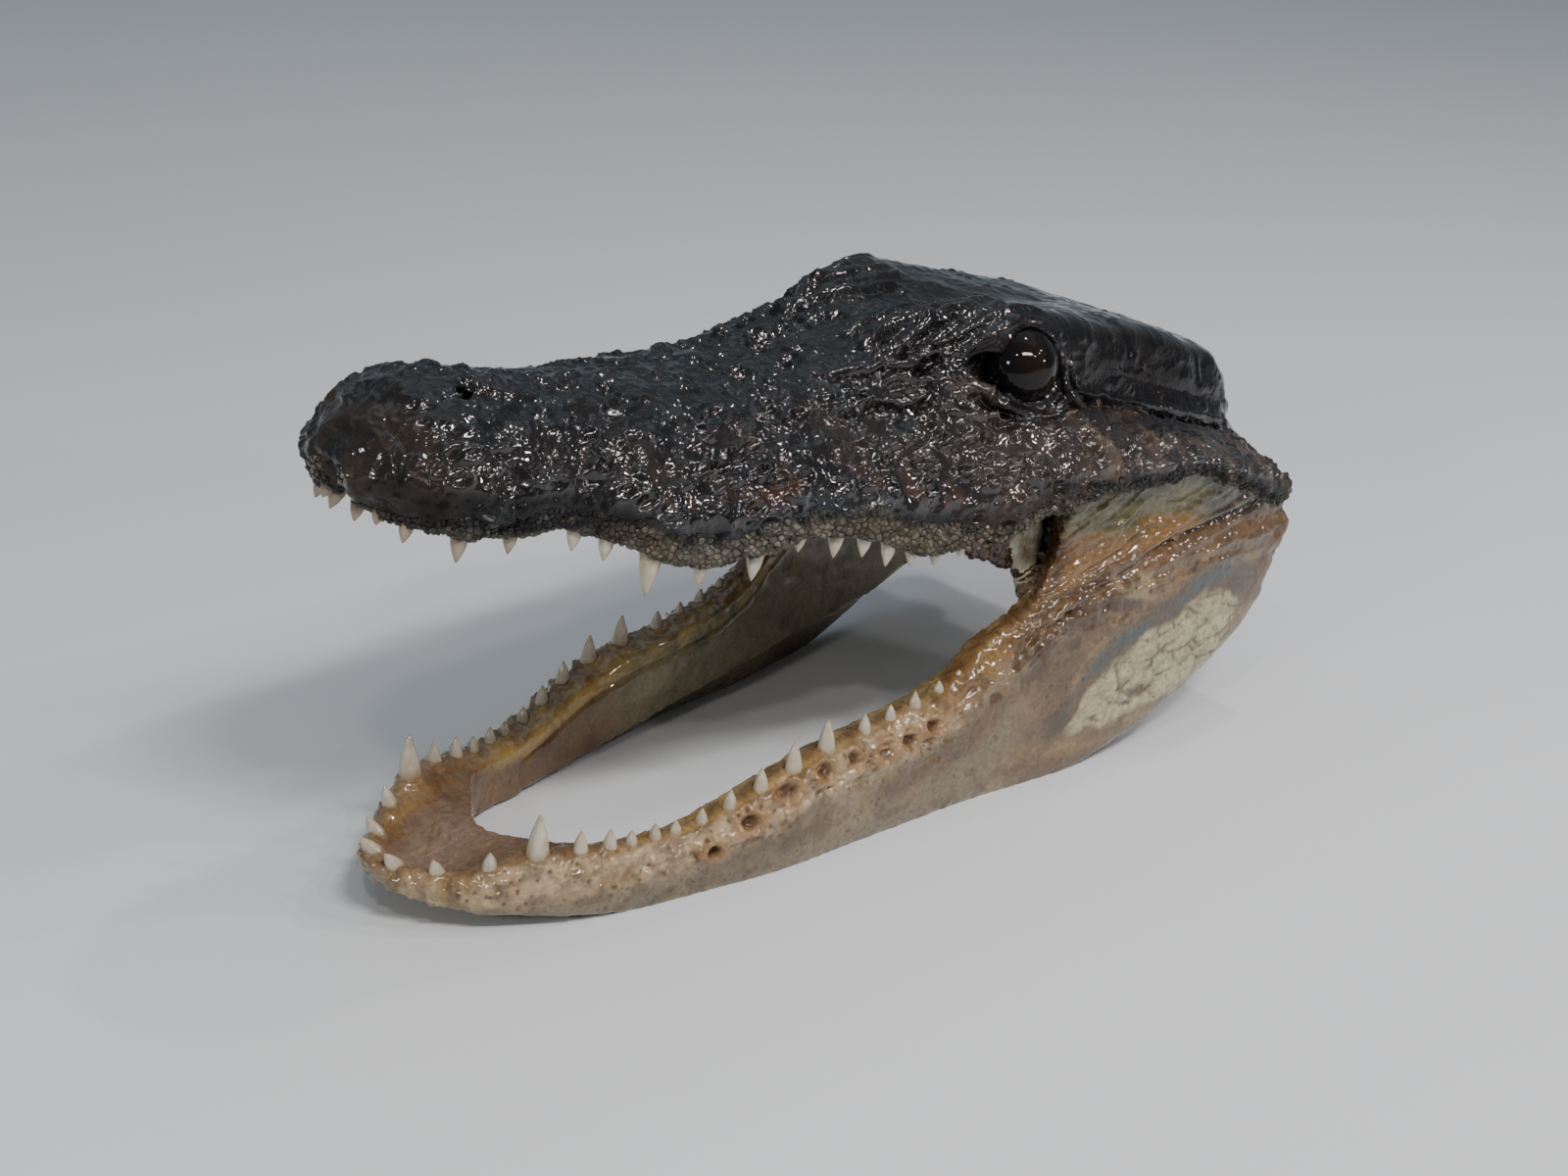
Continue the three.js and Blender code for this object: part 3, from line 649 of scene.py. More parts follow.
wrinkle_line = along(
    (-134, 42), (-122, 35), (-112, 28), (-100, 21.5), (-91, 18.6), (-74, 17.4), (-58, 15.2),
    (-43.6, 12.4), (-30, 11), (-16, 10.6), (0, 10))
CHEEK_CREASE = [
    (29.6, 43.2, -31), (21.4, 44.6, -24.6), (15.3, 45.3, -20), (6.1, 46.2, -13.2), (0.6, 47, -9.3),
    (-12.3, 48.6, -4), (-26.7, 49.2, 1.8)]
CORNER = np.array([-124.0, 44.0])     # jaw x and height of the corner of the mouth


def pleats(place):
    """Folds of the dried cheek: they fan out from the corner of the mouth. And the angle they lie at."""
    dx, dz = CORNER[0] - place.x + 8, place.p[:, 2] - CORNER[1] + 2
    angle = np.degrees(np.arctan2(dz, dx)) + 5 * noise(place.p, 11, 41)
    reach = np.hypot(dx, dz)
    fan = np.stack([angle / 6.5, reach / 24, place.side], axis=1)
    fine = np.stack([angle / 2.1, reach / 13, place.side], axis=1)
    return 0.6 * crumple(fan, 1, 42) + 0.42 * crumple(fine, 1, 46) * step(4, 14, reach), angle


def upper_relief(place):
    """Relief of the upper head in millimetres: crumpled hide, craters, folds, and rings round the tip."""
    p = place.p
    folds = once(place, fold_relief)
    upper = place.upper * (1 - place.palate)
    smooth_top = window(-34, 64, 6, place.s) * step(21, 27, place.z)
    near_eye = 1 - step(10.5, 14, place.eye)
    facing_up = step(0.45, 0.95, place.n[:, 2])
    tip = step(182, 192, place.s)
    rough = (upper * (1 - 0.82 * smooth_top) * (1 - 0.7 * near_eye) * (1 - 0.1 * facing_up)
             * (1 - 0.45 * tip))
    temple = once(place, temple_side)
    rough = 1.2 * rough * step(-9, 3, place.above) * (1 - 0.7 * temple) + 0.08 * upper
    long = drawn(p, 0.6)
    patchy = 0.75 + 0.5 * noise(p, 13, 26)
    out = rough * patchy * (0.72 * crumple(long, 7.2, 11) + 0.62 * crumple(long, 4.1, 15)
                            + 0.13 * crumple(p, 1.9, 19))
    first = cells(long, 4.9, 24, rough)[0]
    some = step(-0.25, 0.1, noise(p, 9, 28))
    out += rough * some * (0.8 * bell(first - 0.36, 0.085) - 0.7 * bell(first, 0.2))
    out += 0.6 * rough * (0.5 - some) * bell(cells(p, 3.0, 25, rough)[0] - 0.33, 0.09)
    out += upper * smooth_top * (0.34 * noise(p, 8, 14) + 0.16 * crumple(p, 4.6, 29)
                                 + 0.05 * noise(p, 1.2, 30))
    out += (0.55 * upper * smooth_top * step(0.15, 0.4, noise(p, 12, 56))
            * bell(cells(p, 3.8, 57, upper * smooth_top)[0], 0.3))
    out += folds * upper
    for centre, width, height in TUBERCLES:
        out += upper * height * bell(np.linalg.norm(place.q - np.array(centre), axis=1), width * 0.75)
    # Concentric wrinkles round the end of the snout
    ring = np.hypot(place.s - 176, place.out * 0.9)
    waves = np.stack([ring / 1.9, place.z / 9, place.out / 9], axis=1)
    out += tip * upper * (0.42 * crumple(waves, 1, 21) + 0.14 * crumple(p, 1.7, 48)
                          - 0.7 * step(-16, -8, place.z))
    out -= upper * 0.3 * bell(place.above - 7.5 - noise(p, 7, 22), 0.9) * (1 - tip)
    out += upper * 0.3 * bell(place.nostril - 1.5, 0.25)
    out -= upper * 1.3 * np.tanh(place.oblique / 2.2) * bell(place.nostril, 1.6)
    out += 0.12 * upper * (1 - step(6, 12, place.above)) * step(100, 130, place.s) * crumple(p, 1.4, 55)
    wrinkle = upper * window(-36, 44, 6, place.s) * (1 - step(12, 16, place.z))
    upright = np.stack([place.s / 2.6 + 0.12 * place.z, place.z / 11, place.side], axis=1)
    out += wrinkle * 0.75 * crumple(upright, 1, 23)
    out -= wrinkle * 0.5 * step(0.22, 0.1, cells(p, 3.1, 52, wrinkle)[0])
    return out


def jaw_relief(place, out):
    """Adds the lower jaw's: knobbly gum, bite pits, and a glossy wrinkled band along its side."""
    p = place.p
    skin = place.lower * (1 - place.inner)
    hollow, edge = once(place, pit_fields)
    out += -1.7 * hollow + 0.5 * edge
    gum = skin * (1 - step(4, 9, place.below)) * step(-106, -96, place.x)
    out += gum * (0.55 * crumple(p, 2.6, 31) + 0.34 * noise(p, 1.3, 32)
                  + 0.3 * bell(cells(p, 2.4, 54, gum)[0], 0.3))
    dots = (step(0.27, 0.1, once(place, dot_field)) * window(-112, 14, 8, place.x)
            * (1 - step(10, 15, place.below)))
    out -= 0.4 * skin * dots
    grains = step(-8, 4, place.x) * step(1, 4, place.below) + step(6, 10, place.below) * (place.x > -115)
    granules = cells(drawn(p, 0.8), 1.9, 53, skin)[0]
    out += (skin * np.clip(grains, 0, 1)
            * (0.10 * crumple(drawn(p, 0.8), 1.7, 49) + 0.26 * bell(granules, 0.34)))
    across = p[:, 2] - wrinkle_line(place.x)
    band = skin * bell(across, 4.2) * window(-134, -6, 8, place.x)
    rows = np.stack([place.x / 6.5 + 0.02 * across, across / 1.5, place.side], axis=1)
    out += band * (0.62 * crumple(rows, 1, 33) + 0.34 * crumple(p, 1.9, 37))
    beads = cells(np.stack([place.x * 0.8, across, place.side], axis=1), 2.3, 38, skin)[0]
    out += skin * 0.3 * bell(beads, 0.42) * bell(across - 4, 3) * window(-150, -104, 6, place.x)
    out += skin * (0.2 * layered(drawn(p, 0.5), 5, 34) + 0.08 * crumple(p, 1.5, 39))
    crack, fine_crack = once(place, crack_lines)
    out += once(place, cream_patch) * (0.25 - 0.38 * crack - 0.16 * fine_crack)
    knobs = skin * window(-150, -84, 9, place.x) * bell(across, 7)
    out += knobs * (0.6 * crumple(drawn(p, 0.7), 3.1, 68) + 0.35 * bell(cells(p, 2.6, 69, knobs)[0], 0.3))
    out += place.inner * (0.35 * layered(drawn(p, 0.4), 6, 35) + 0.22 * crumple(p, 2.6, 36)
                          + 0.1 * crumple(p, 1.3, 40) * step(-20, -12, place.x))


def relief(place):
    """How far the hide stands off the smooth head, in millimetres."""
    p = place.p
    skin = place.lower * (1 - place.inner)
    out = upper_relief(place)
    jaw_relief(place, out)
    for x, length, _, _ in LOWER_TEETH:
        d = np.hypot(place.x - x, place.out - tooth_line(place.x) + 1)
        out += 0.7 * bell(d - (1.5 + 0.16 * length), 0.7) * place.lower * (place.below < 4)
    for s, length in UPPER_TEETH:
        d = np.hypot(place.s - s, place.out - upper_tooth_line(place.s))
        out += 0.4 * bell(d - (1.2 + 0.16 * length), 0.8) * place.upper * (place.above < 4)
    out += place.palate * (0.3 * layered(drawn(p, 1.3, 0.6), 5, 47))
    trough = (place.lower * step(-10, -2, place.x) * (1 - step(3, 7, place.below))
              * step(3, -3, place.x - 13))
    out -= 1.1 * trough * bell(place.out / np.maximum(tooth_line(place.x), 1), 0.62)
    pleat, _ = once(place, pleats)
    onto_jaw = skin * step(-116, -126, place.x) * (1 - step(6, 13, place.below))
    out += (place.cheek + 0.8 * onto_jaw) * (1.15 * pleat + 0.18 * crumple(p, 1.7, 43))
    crease, _, above = path_distance(place.q, CHEEK_CREASE)
    out += (1 - place.upper) * (0.8 * bell(crease - 2.2, 1.3) * (above > 0) - 1.5 * bell(crease, 0.8))
    rear = 1 - step(-198, -190, place.x)
    out += rear * place.lower * 0.7 * noise(p, 3.4, 44)
    back = (1 - step(UPPER_REAR, UPPER_REAR + 4, place.s)) * place.upper
    out += back * 0.8 * noise(p, 3, 45)
    return out


def coated(place):
    """Where plates cover the skin: 1 for all over."""
    outer = step(-0.55, -0.15, place.n[:, 1] * place.side)
    wall_inside = place.inner * (1 - step(-34, -28, place.x)) * step(3.5, 6, place.below)
    return np.clip(place.upper * (1 - place.palate) + place.lower * (1 - wall_inside)
                   + place.cheek * outer, 0, 1)


def scaled(place):
    """Where true small scales lie on the plates: 1 inside."""
    edge = along((-38, 1.5), (0, 3), (40, 5), (70, 6.2), (120, 6.4), (150, 5), (180, 4), (192, 2.5),
                 (200, 1))(place.s)
    lips = (place.upper * (1 - place.palate)
            * step(0.9, -0.9, place.above - edge + 1.2 * noise(place.p, 5, 27)))
    return np.clip(lips, 0, 1)


LID_UPPER = [
    (68, 24.2, 22), (62.5, 25.6, 24.8), (57, 26.4, 28.4), (51.5, 26.8, 31.6), (45.7, 27.2, 33.2),
    (40.5, 28, 32.2), (37, 29.8, 28.9), (35.6, 31.8, 24.6), (35, 33.8, 20.4), (31, 34.4, 17.8),
    (26, 34, 17)]
LID_FOLD = [
    (70, 22.6, 24.2), (64, 23.8, 27.4), (58, 24.2, 31), (52, 24.2, 34), (45, 24.6, 35.4),
    (38.6, 26.4, 34), (34.6, 29, 30), (32.6, 31.4, 25), (31, 33, 21)]
LID_LOWER = [
    (68, 24.2, 22), (63, 27, 19.6), (57.5, 30.2, 16.6), (51, 32.6, 14.8), (45, 33.8, 13.8),
    (39, 34.2, 15.2), (35, 33.6, 17.8), (31, 34, 17.8)]
STRANDS = [
    ((27, 34, -5), (26.5, 34.5, -16), (27.5, 35, -30)),
    ((28.5, 36.6, -5), (27.5, 36.8, -16), (29.5, 37.4, -30)),
    ((30.5, 39.2, -5), (29, 39.2, -17), (31, 39, -29))]
WEB_LOW = along(
    (18, -31), (27, -30), (28.4, -27), (29.7, -24.9), (33.2, -22.4), (39.4, -20.9), (46.5, -19.5),
    (51, -18.6), (57, -15), (61, -9))


def tube(centres, radii, sides=14, up=(0, 0, 1)):
    """Rings of a tube through points, with its own radius at each."""
    centres = np.array(centres)
    ahead = np.gradient(centres, axis=0)
    ahead /= np.linalg.norm(ahead, axis=1, keepdims=True)
    side_way = np.cross(ahead, np.array(up))
    side_way /= np.linalg.norm(side_way, axis=1, keepdims=True)
    lift = np.cross(side_way, ahead)
    turn = np.linspace(0, 2 * math.pi, sides, endpoint=False)
    return (centres[:, None] + np.cos(turn)[None, :, None] * side_way[:, None] * radii[:, None, None]
            + np.sin(turn)[None, :, None] * lift[:, None] * radii[:, None, None])


def ridge(line, thick, side, count=60):
    """A raised fold of skin along a line in the skull frame, thin at both ends."""
    centres = spline(np.array(line, float)[:, None, :], count)[:, 0]
    share = np.linspace(0, 1, count)
    radii = thick * (0.35 + 0.65 * np.sin(np.pi * share) ** 0.5)
    rings = tube(centres, radii, up=(0, 1, 0))
    return faced_out(store("ridge", *loft(on_side(rings, side))))


def sheet(grid, thick, side):
    """A thin closed body behind a grid of points in the skull frame."""
    rings = np.concatenate([grid, (grid - thick)[:, ::-1]], axis=1)
    return faced_out(store("sheet", *loft(on_side(rings, side))))


def webs(side):
    """Dark dried tissue in the rear corner of the mouth: a web with a hollow edge, and a curtain behind."""
    down = np.linspace(0, 1, 24)[None, :]
    s = np.linspace(20, 60.5, 60)[:, None]
    z = -6 + down * (WEB_LOW(s) + 6 + 0.5 * np.sin(s * 2.3))
    web = np.stack([s + 0 * z, 30.4 + 0.5 * np.sin(s * 0.5) + 1.2 * down + 0 * s, z], axis=-1)
    share = np.linspace(0, 1, 30)[:, None]
    z = -4 - 27 * down + 0 * share
    s = 25.5 + 6 * share**1.5 - 1.5 * np.sin(np.pi * down)
    curtain = np.stack([s, 31 + 9.4 * share + 0 * z, z], axis=-1)
    return [sheet(web, np.array([0, 1.5, 0]), side), sheet(curtain, np.array([1.6, 0, 0]), side)]


def raw_head():
    """Upper head, lower jaw, cheeks, lids and strands as closed bodies in one mesh."""
    upper = faced_out(upper_body())
    tools = [ball("socket", on_side(EYE, side), (EYE_RADIUS + 0.1,) * 3) for side in (1, -1)]
    tools += [ball("hollow", on_side(EYE_CORNER, side), (8.5, 4.2, 4.6), GAPE, 32) for side in (1, -1)]
    tools += [ball("hole", on_side(NOSTRIL, side), (1.7, 1.8, 8.5), GAPE, 24) for side in (1, -1)]
    tools.append(ball("foramen", from_skull(UPPER_REAR, 0, 17), (6, 3.2, 3.2), GAPE, 24))
    cut(upper, *tools)
    lower = faced_out(lower_body())
    cut(lower, floor_wedge())
    parts = [upper, lower]
    for side in (1, -1):
        parts.append(faced_out(cheek_body(side)))
        parts += [ridge(LID_UPPER, 1.15, side), ridge(LID_FOLD, 0.8, side), ridge(LID_LOWER, 1.0, side)]
        parts += [ridge(line, 0.8, side, 30) for line in STRANDS]
        parts += webs(side)
    return joined("head", parts)


def in_voxels(obj, voxel):
    return baked(obj, ("REMESH", {"mode": "VOXEL", "voxel_size": voxel, "adaptivity": 0.0}))


def remeshed(source, name, voxel, rounds):
    obj = in_voxels(placed(name, source.data.copy()), voxel)
    set_points(obj.data, smoothed(points_of(obj.data), edges_of(obj.data), rounds, 0.45))
    return obj


def unit(vectors):
    return vectors / np.maximum(np.linalg.norm(vectors, axis=-1, keepdims=True), 1e-9)


# ---- Colours, linear ----
CREASE_SHADE = (0.003, 0.003, 0.003)
BLACK = (0.004, 0.004, 0.005)
DARK_BROWN = (0.012, 0.009, 0.008)
RED_BROWN = (0.042, 0.020, 0.010)
PAINTED_BLUE_REFLECTION = (0.026, 0.035, 0.041)
PALE_SCALE = (0.16, 0.145, 0.108)
GREY_BROWN = (0.036, 0.027, 0.021)
BROWN_TAN = (0.088, 0.062, 0.042)
PALATE = (0.26, 0.17, 0.10)
OLIVE = (0.100, 0.103, 0.050)
AMBER = (0.215, 0.120, 0.038)
PURPLE_BROWN = (0.030, 0.018, 0.018)
AMBER_BROWN = (0.140, 0.080, 0.034)
PINK_TAN = (0.40, 0.305, 0.185)
TAN = (0.235, 0.180, 0.105)
GREY_TAN = (0.155, 0.132, 0.085)
CREAM = (0.43, 0.405, 0.245)
SOIL_BROWN = (0.13, 0.078, 0.038)
INNER_BROWN = (0.150, 0.090, 0.042)
YELLOW = (0.47, 0.32, 0.10)
BONE_GREEN = (0.25, 0.235, 0.130)
WARM_LIGHT = (0.27, 0.195, 0.10)


def layers(base, count):
    """A field of one colour, and the function that paints another over a share of it."""
    field = np.tile(np.array(base), (count, 1))

    def over(colour, share):
        share = np.clip(share, 0, 1)[:, None]
        field[:] = field * (1 - share) + np.array(colour) * share

    return field, over


def spot(place, centre, radii):
    """Soft patch on both sides of the head, in the skull frame."""
    return step(1.25, 0.75, np.linalg.norm((place.q - np.array(centre)) / np.array(radii), axis=1)
                + 0.22 * noise(place.p, 2.6, 50))


PATCH_LOW = along(
    (-186, 31), (-182, 24), (-176, 19), (-167, 14.4), (-154, 12.6), (-142, 10.8), (-133, 10.8))
PATCH_HIGH = along(
    (-186, 31), (-182, 34), (-177, 36.4), (-171, 36), (-163.2, 33), (-154.3, 29.8), (-146, 26),
    (-138.1, 20.3), (-133.8, 14), (-130, 11))
# Height of the line of painted blue reflection on the rear of the jaw, by jaw x.
BLUE_REFLECTION_LINE = along(
    (-198, 45.2), (-194.6, 44.5), (-182, 42), (-170.1, 39.5), (-162.7, 36.2), (-152.9, 32.8),
    (-142.5, 28), (-135.3, 23), (-128, 12))


def cream_patch(place):
    """The bare pale area at the rear of the jaw's side: 1 inside."""
    x, z = place.x, place.p[:, 2]
    wave = 1.5 * noise(place.p, 5, 61) + 0.9 * noise(place.p, 2.2, 63)
    return (step(-1.2, 1.4, z - PATCH_LOW(x) + wave) * step(-1.2, 1.4, PATCH_HIGH(x) - z + wave)
            * window(-184, -133, 2.2, x + wave) * place.lower * (1 - place.inner))


def crack_lines(place):
    """Thin cracks in the pale patch: the large ones and the fine ones between them."""
    flat = drawn(place.p, 0.7) + 0.5 * noise(place.p, 2.4, 66)[:, None]
    patch = once(place, cream_patch)
    near, far = cells(flat, 4.8, 62, patch)
    small_near, small_far = cells(flat, 2.3, 64, patch)
    broken = step(-0.25, 0.15, noise(place.p, 4, 65))
    return bell(far - near, 0.075) * (0.35 + 0.65 * broken), bell(small_far - small_near, 0.09) * broken


def upper_colour(place, n_big, n_mid, n_fine):
    """Black lacquered hide with brown bands and a band of painted blue-grey reflection, paler lips, painted
    shade in folds and nostrils, and palate.
    """
    p, s, z, out = place.p, place.s, place.z, place.out
    colour, on = layers(BLACK, len(p))
    on(DARK_BROWN, 0.4 + 0.7 * n_mid)
    band = along((-38, 8), (20, 10), (60, 11), (100, 12), (140, 11), (175, 9), (196, 7))(s)
    top_of_band = bell(place.above - band + 1.5 * n_big, 2.8)
    on(RED_BROWN, top_of_band * step(0.0, 0.5, n_mid + 0.5 * n_fine) * window(40, 150, 8, s))
    side_brown = (window(60, 150, 12, s) * bell(place.above - band - 5, 6)
                  * step(-0.1, 0.5, n_big + 0.4 * n_mid))
    on(GREY_BROWN, 0.5 * side_brown)
    # Painted reflection: a blue-grey band on the hide above the lips, broken by dark brown.
    blue_reflection = step(-1.8, 1.8, 0.8 * band - place.above + 1.8 * n_mid)
    on(PAINTED_BLUE_REFLECTION, 0.62 * blue_reflection * np.clip(0.55 + 0.9 * n_mid + 0.5 * n_fine, 0, 1)
       * (1 - 0.5 * step(165, 190, s)))
    on(DARK_BROWN, 0.7 * blue_reflection * step(0.1, 0.5, n_big + 0.5 * n_fine))
    scaly = once(place, scaled) * place.upper
    pale_lips = window(40, 152, 14, s) * (1 - 0.55 * step(2.5, 6, place.above))
    on(PALE_SCALE, scaly * (0.04 + 0.55 * pale_lips + 0.3 * n_mid + 0.3 * n_fine))
    on((0.10, 0.078, 0.050), scaly * pale_lips * 0.5 * step(-0.1, 0.4, n_big))
    tip = step(182, 195, s) * (1 - step(-6, 2, z))
    on(GREY_BROWN, tip * (0.5 + 0.5 * n_mid))
    on((0.11, 0.055, 0.025), tip * step(0.62, 0.8, noise(p, 0.9, 76) + 0.35 * n_mid) * 0.18)
    on((0.034, 0.022, 0.015), 0.85 * spot(place, (62, 29.5, 17.6), (6.5, 3, 2.8)))
    on((0.10, 0.052, 0.020), 0.6 * spot(place, (36, 35, 14.5), (5, 2.4, 1.4)) * step(-0.2, 0.3, n_fine))
    low_cheek = window(-40, 66, 10, s) * (1 - step(10, 15, z)) * step(-4, 4, place.above - 3)
    on(GREY_BROWN, low_cheek * (0.6 + 0.5 * n_mid))
    streaks = noise(np.stack([s / 1.6 + 0.1 * z, z / 8, place.side], axis=1), 1, 74)
    cheek_zone = window(-40, 34, 8, s) * (1 - step(12, 17, z)) * step(30, 37, out)
    on(BROWN_TAN, cheek_zone * step(-0.25, 0.6, n_mid + 0.7 * streaks) * 0.7)
    on((0.030, 0.022, 0.016), 0.8 * cheek_zone * step(0.15, 0.6, -streaks + 0.5 * n_fine))
    on((0.018, 0.012, 0.010), 0.85 * cheek_zone * step(0.24, 0.12, cells(p, 3.1, 52, cheek_zone)[0]))
    # Painted reflection: blue-grey just above the lip behind the eye.
    on(PAINTED_BLUE_REFLECTION, cheek_zone * bell(place.above - 3, 2.4) * 0.55)
    ear_sliver = path_distance(place.q + [0, 0, 1.5], FOLDS["ear"][0][3:])[0]
    on((0.11, 0.062, 0.026), 0.6 * bell(ear_sliver, 0.9) * (s < 20))
    on(BROWN_TAN, 0.6 * (1 - step(UPPER_REAR + 1, UPPER_REAR + 6, s)) * step(-0.2, 0.4, n_mid))
    # Painted shade: darker in the hollows of the folds and along the ear slit.
    on(CREASE_SHADE, 0.9 * step(-0.25, -0.9, once(place, fold_relief)))
    ear = path_distance(place.q, FOLDS["ear"][0])[0]
    on(CREASE_SHADE, 0.95 * bell(ear, 1.1) * (s < 34))
    on(PALATE, place.palate)
    on((0.14, 0.07, 0.035), place.palate * step(-0.1, 0.5, n_mid) * 0.7)
    # Painted shade: black inside the nostrils.
    on((0.002, 0.002, 0.002), 1 - step(1.1, 1.35, place.nostril))
    return colour


def cheek_colour(place, n_mid, n_fine):
    """The dried cheek: amber pleats with painted shade in their hollows and painted highlights on their
    crests, painted shade in its crease and under the lip, olive under the lip, and dark strands at its
    front.
    """
    s, z, out = place.s, place.z, place.out
    pleat, _ = once(place, pleats)
    colour, on = layers(AMBER_BROWN, len(s))
    # Painted shade in the hollows of the pleats, and painted highlights on their crests.
    on((0.085, 0.038, 0.014), 0.8 * step(0.05, -0.5, pleat))
    on((0.26, 0.165, 0.075), 0.4 * step(0.1, 0.55, pleat + 0.2 * n_fine))
    fibre = noise(np.stack([s / 12, place.above / 1.1, place.side], axis=1), 1, 75)
    high = step(-15, -6, place.above + 3.0 * n_mid + 1.5 * fibre)
    on(OLIVE, 0.85 * high)
    on((0.055, 0.050, 0.022), 0.7 * high * step(-0.1, 0.5, fibre))
    on((0.19, 0.095, 0.024), spot(place, (1, 46, -6), (9, 9, 3.4)) * 0.75 * step(-0.5, 0.3, fibre))
    # Painted shade along the crease of the cheek.
    crease = path_distance(place.q, CHEEK_CREASE)[0]
    on((0.030, 0.015, 0.010), 0.9 * bell(crease, 1.2))
    on(PURPLE_BROWN, 0.9 * step(2, -14, s) * bell(place.above + 5.5, 4.2) * step(-0.4, 0.2, n_mid + 0.35))
    # Painted shade: a dark line just under the lip, where the cheek meets it.
    on((0.05, 0.055, 0.05), 0.7 * bell(place.above + 1.0, 1.2))
    on((0.34, 0.27, 0.15), 0.8 * spot(place, (-3, 47, -12.5), (7, 9, 2.2)))
    front = (s < 60) * (z > -36)
    strand = np.min([path_distance(place.q, line)[0] for line in STRANDS], axis=0)
    on(PURPLE_BROWN, 0.92 * bell(np.maximum(strand - 0.5, 0), 1.1) * front)
    on((0.040, 0.020, 0.010), 0.97 * step(41, 37.5, out) * window(14, 66, 3, s) * step(-33, -29, z))
    on((0.12, 0.055, 0.018), 0.5 * step(39, 36, out) * window(14, 66, 3, s) * step(0.15, 0.5, n_mid))
    on((0.10, 0.05, 0.02), 0.7 * step(0.3, -0.3, place.n[:, 1] * place.side))
    return colour


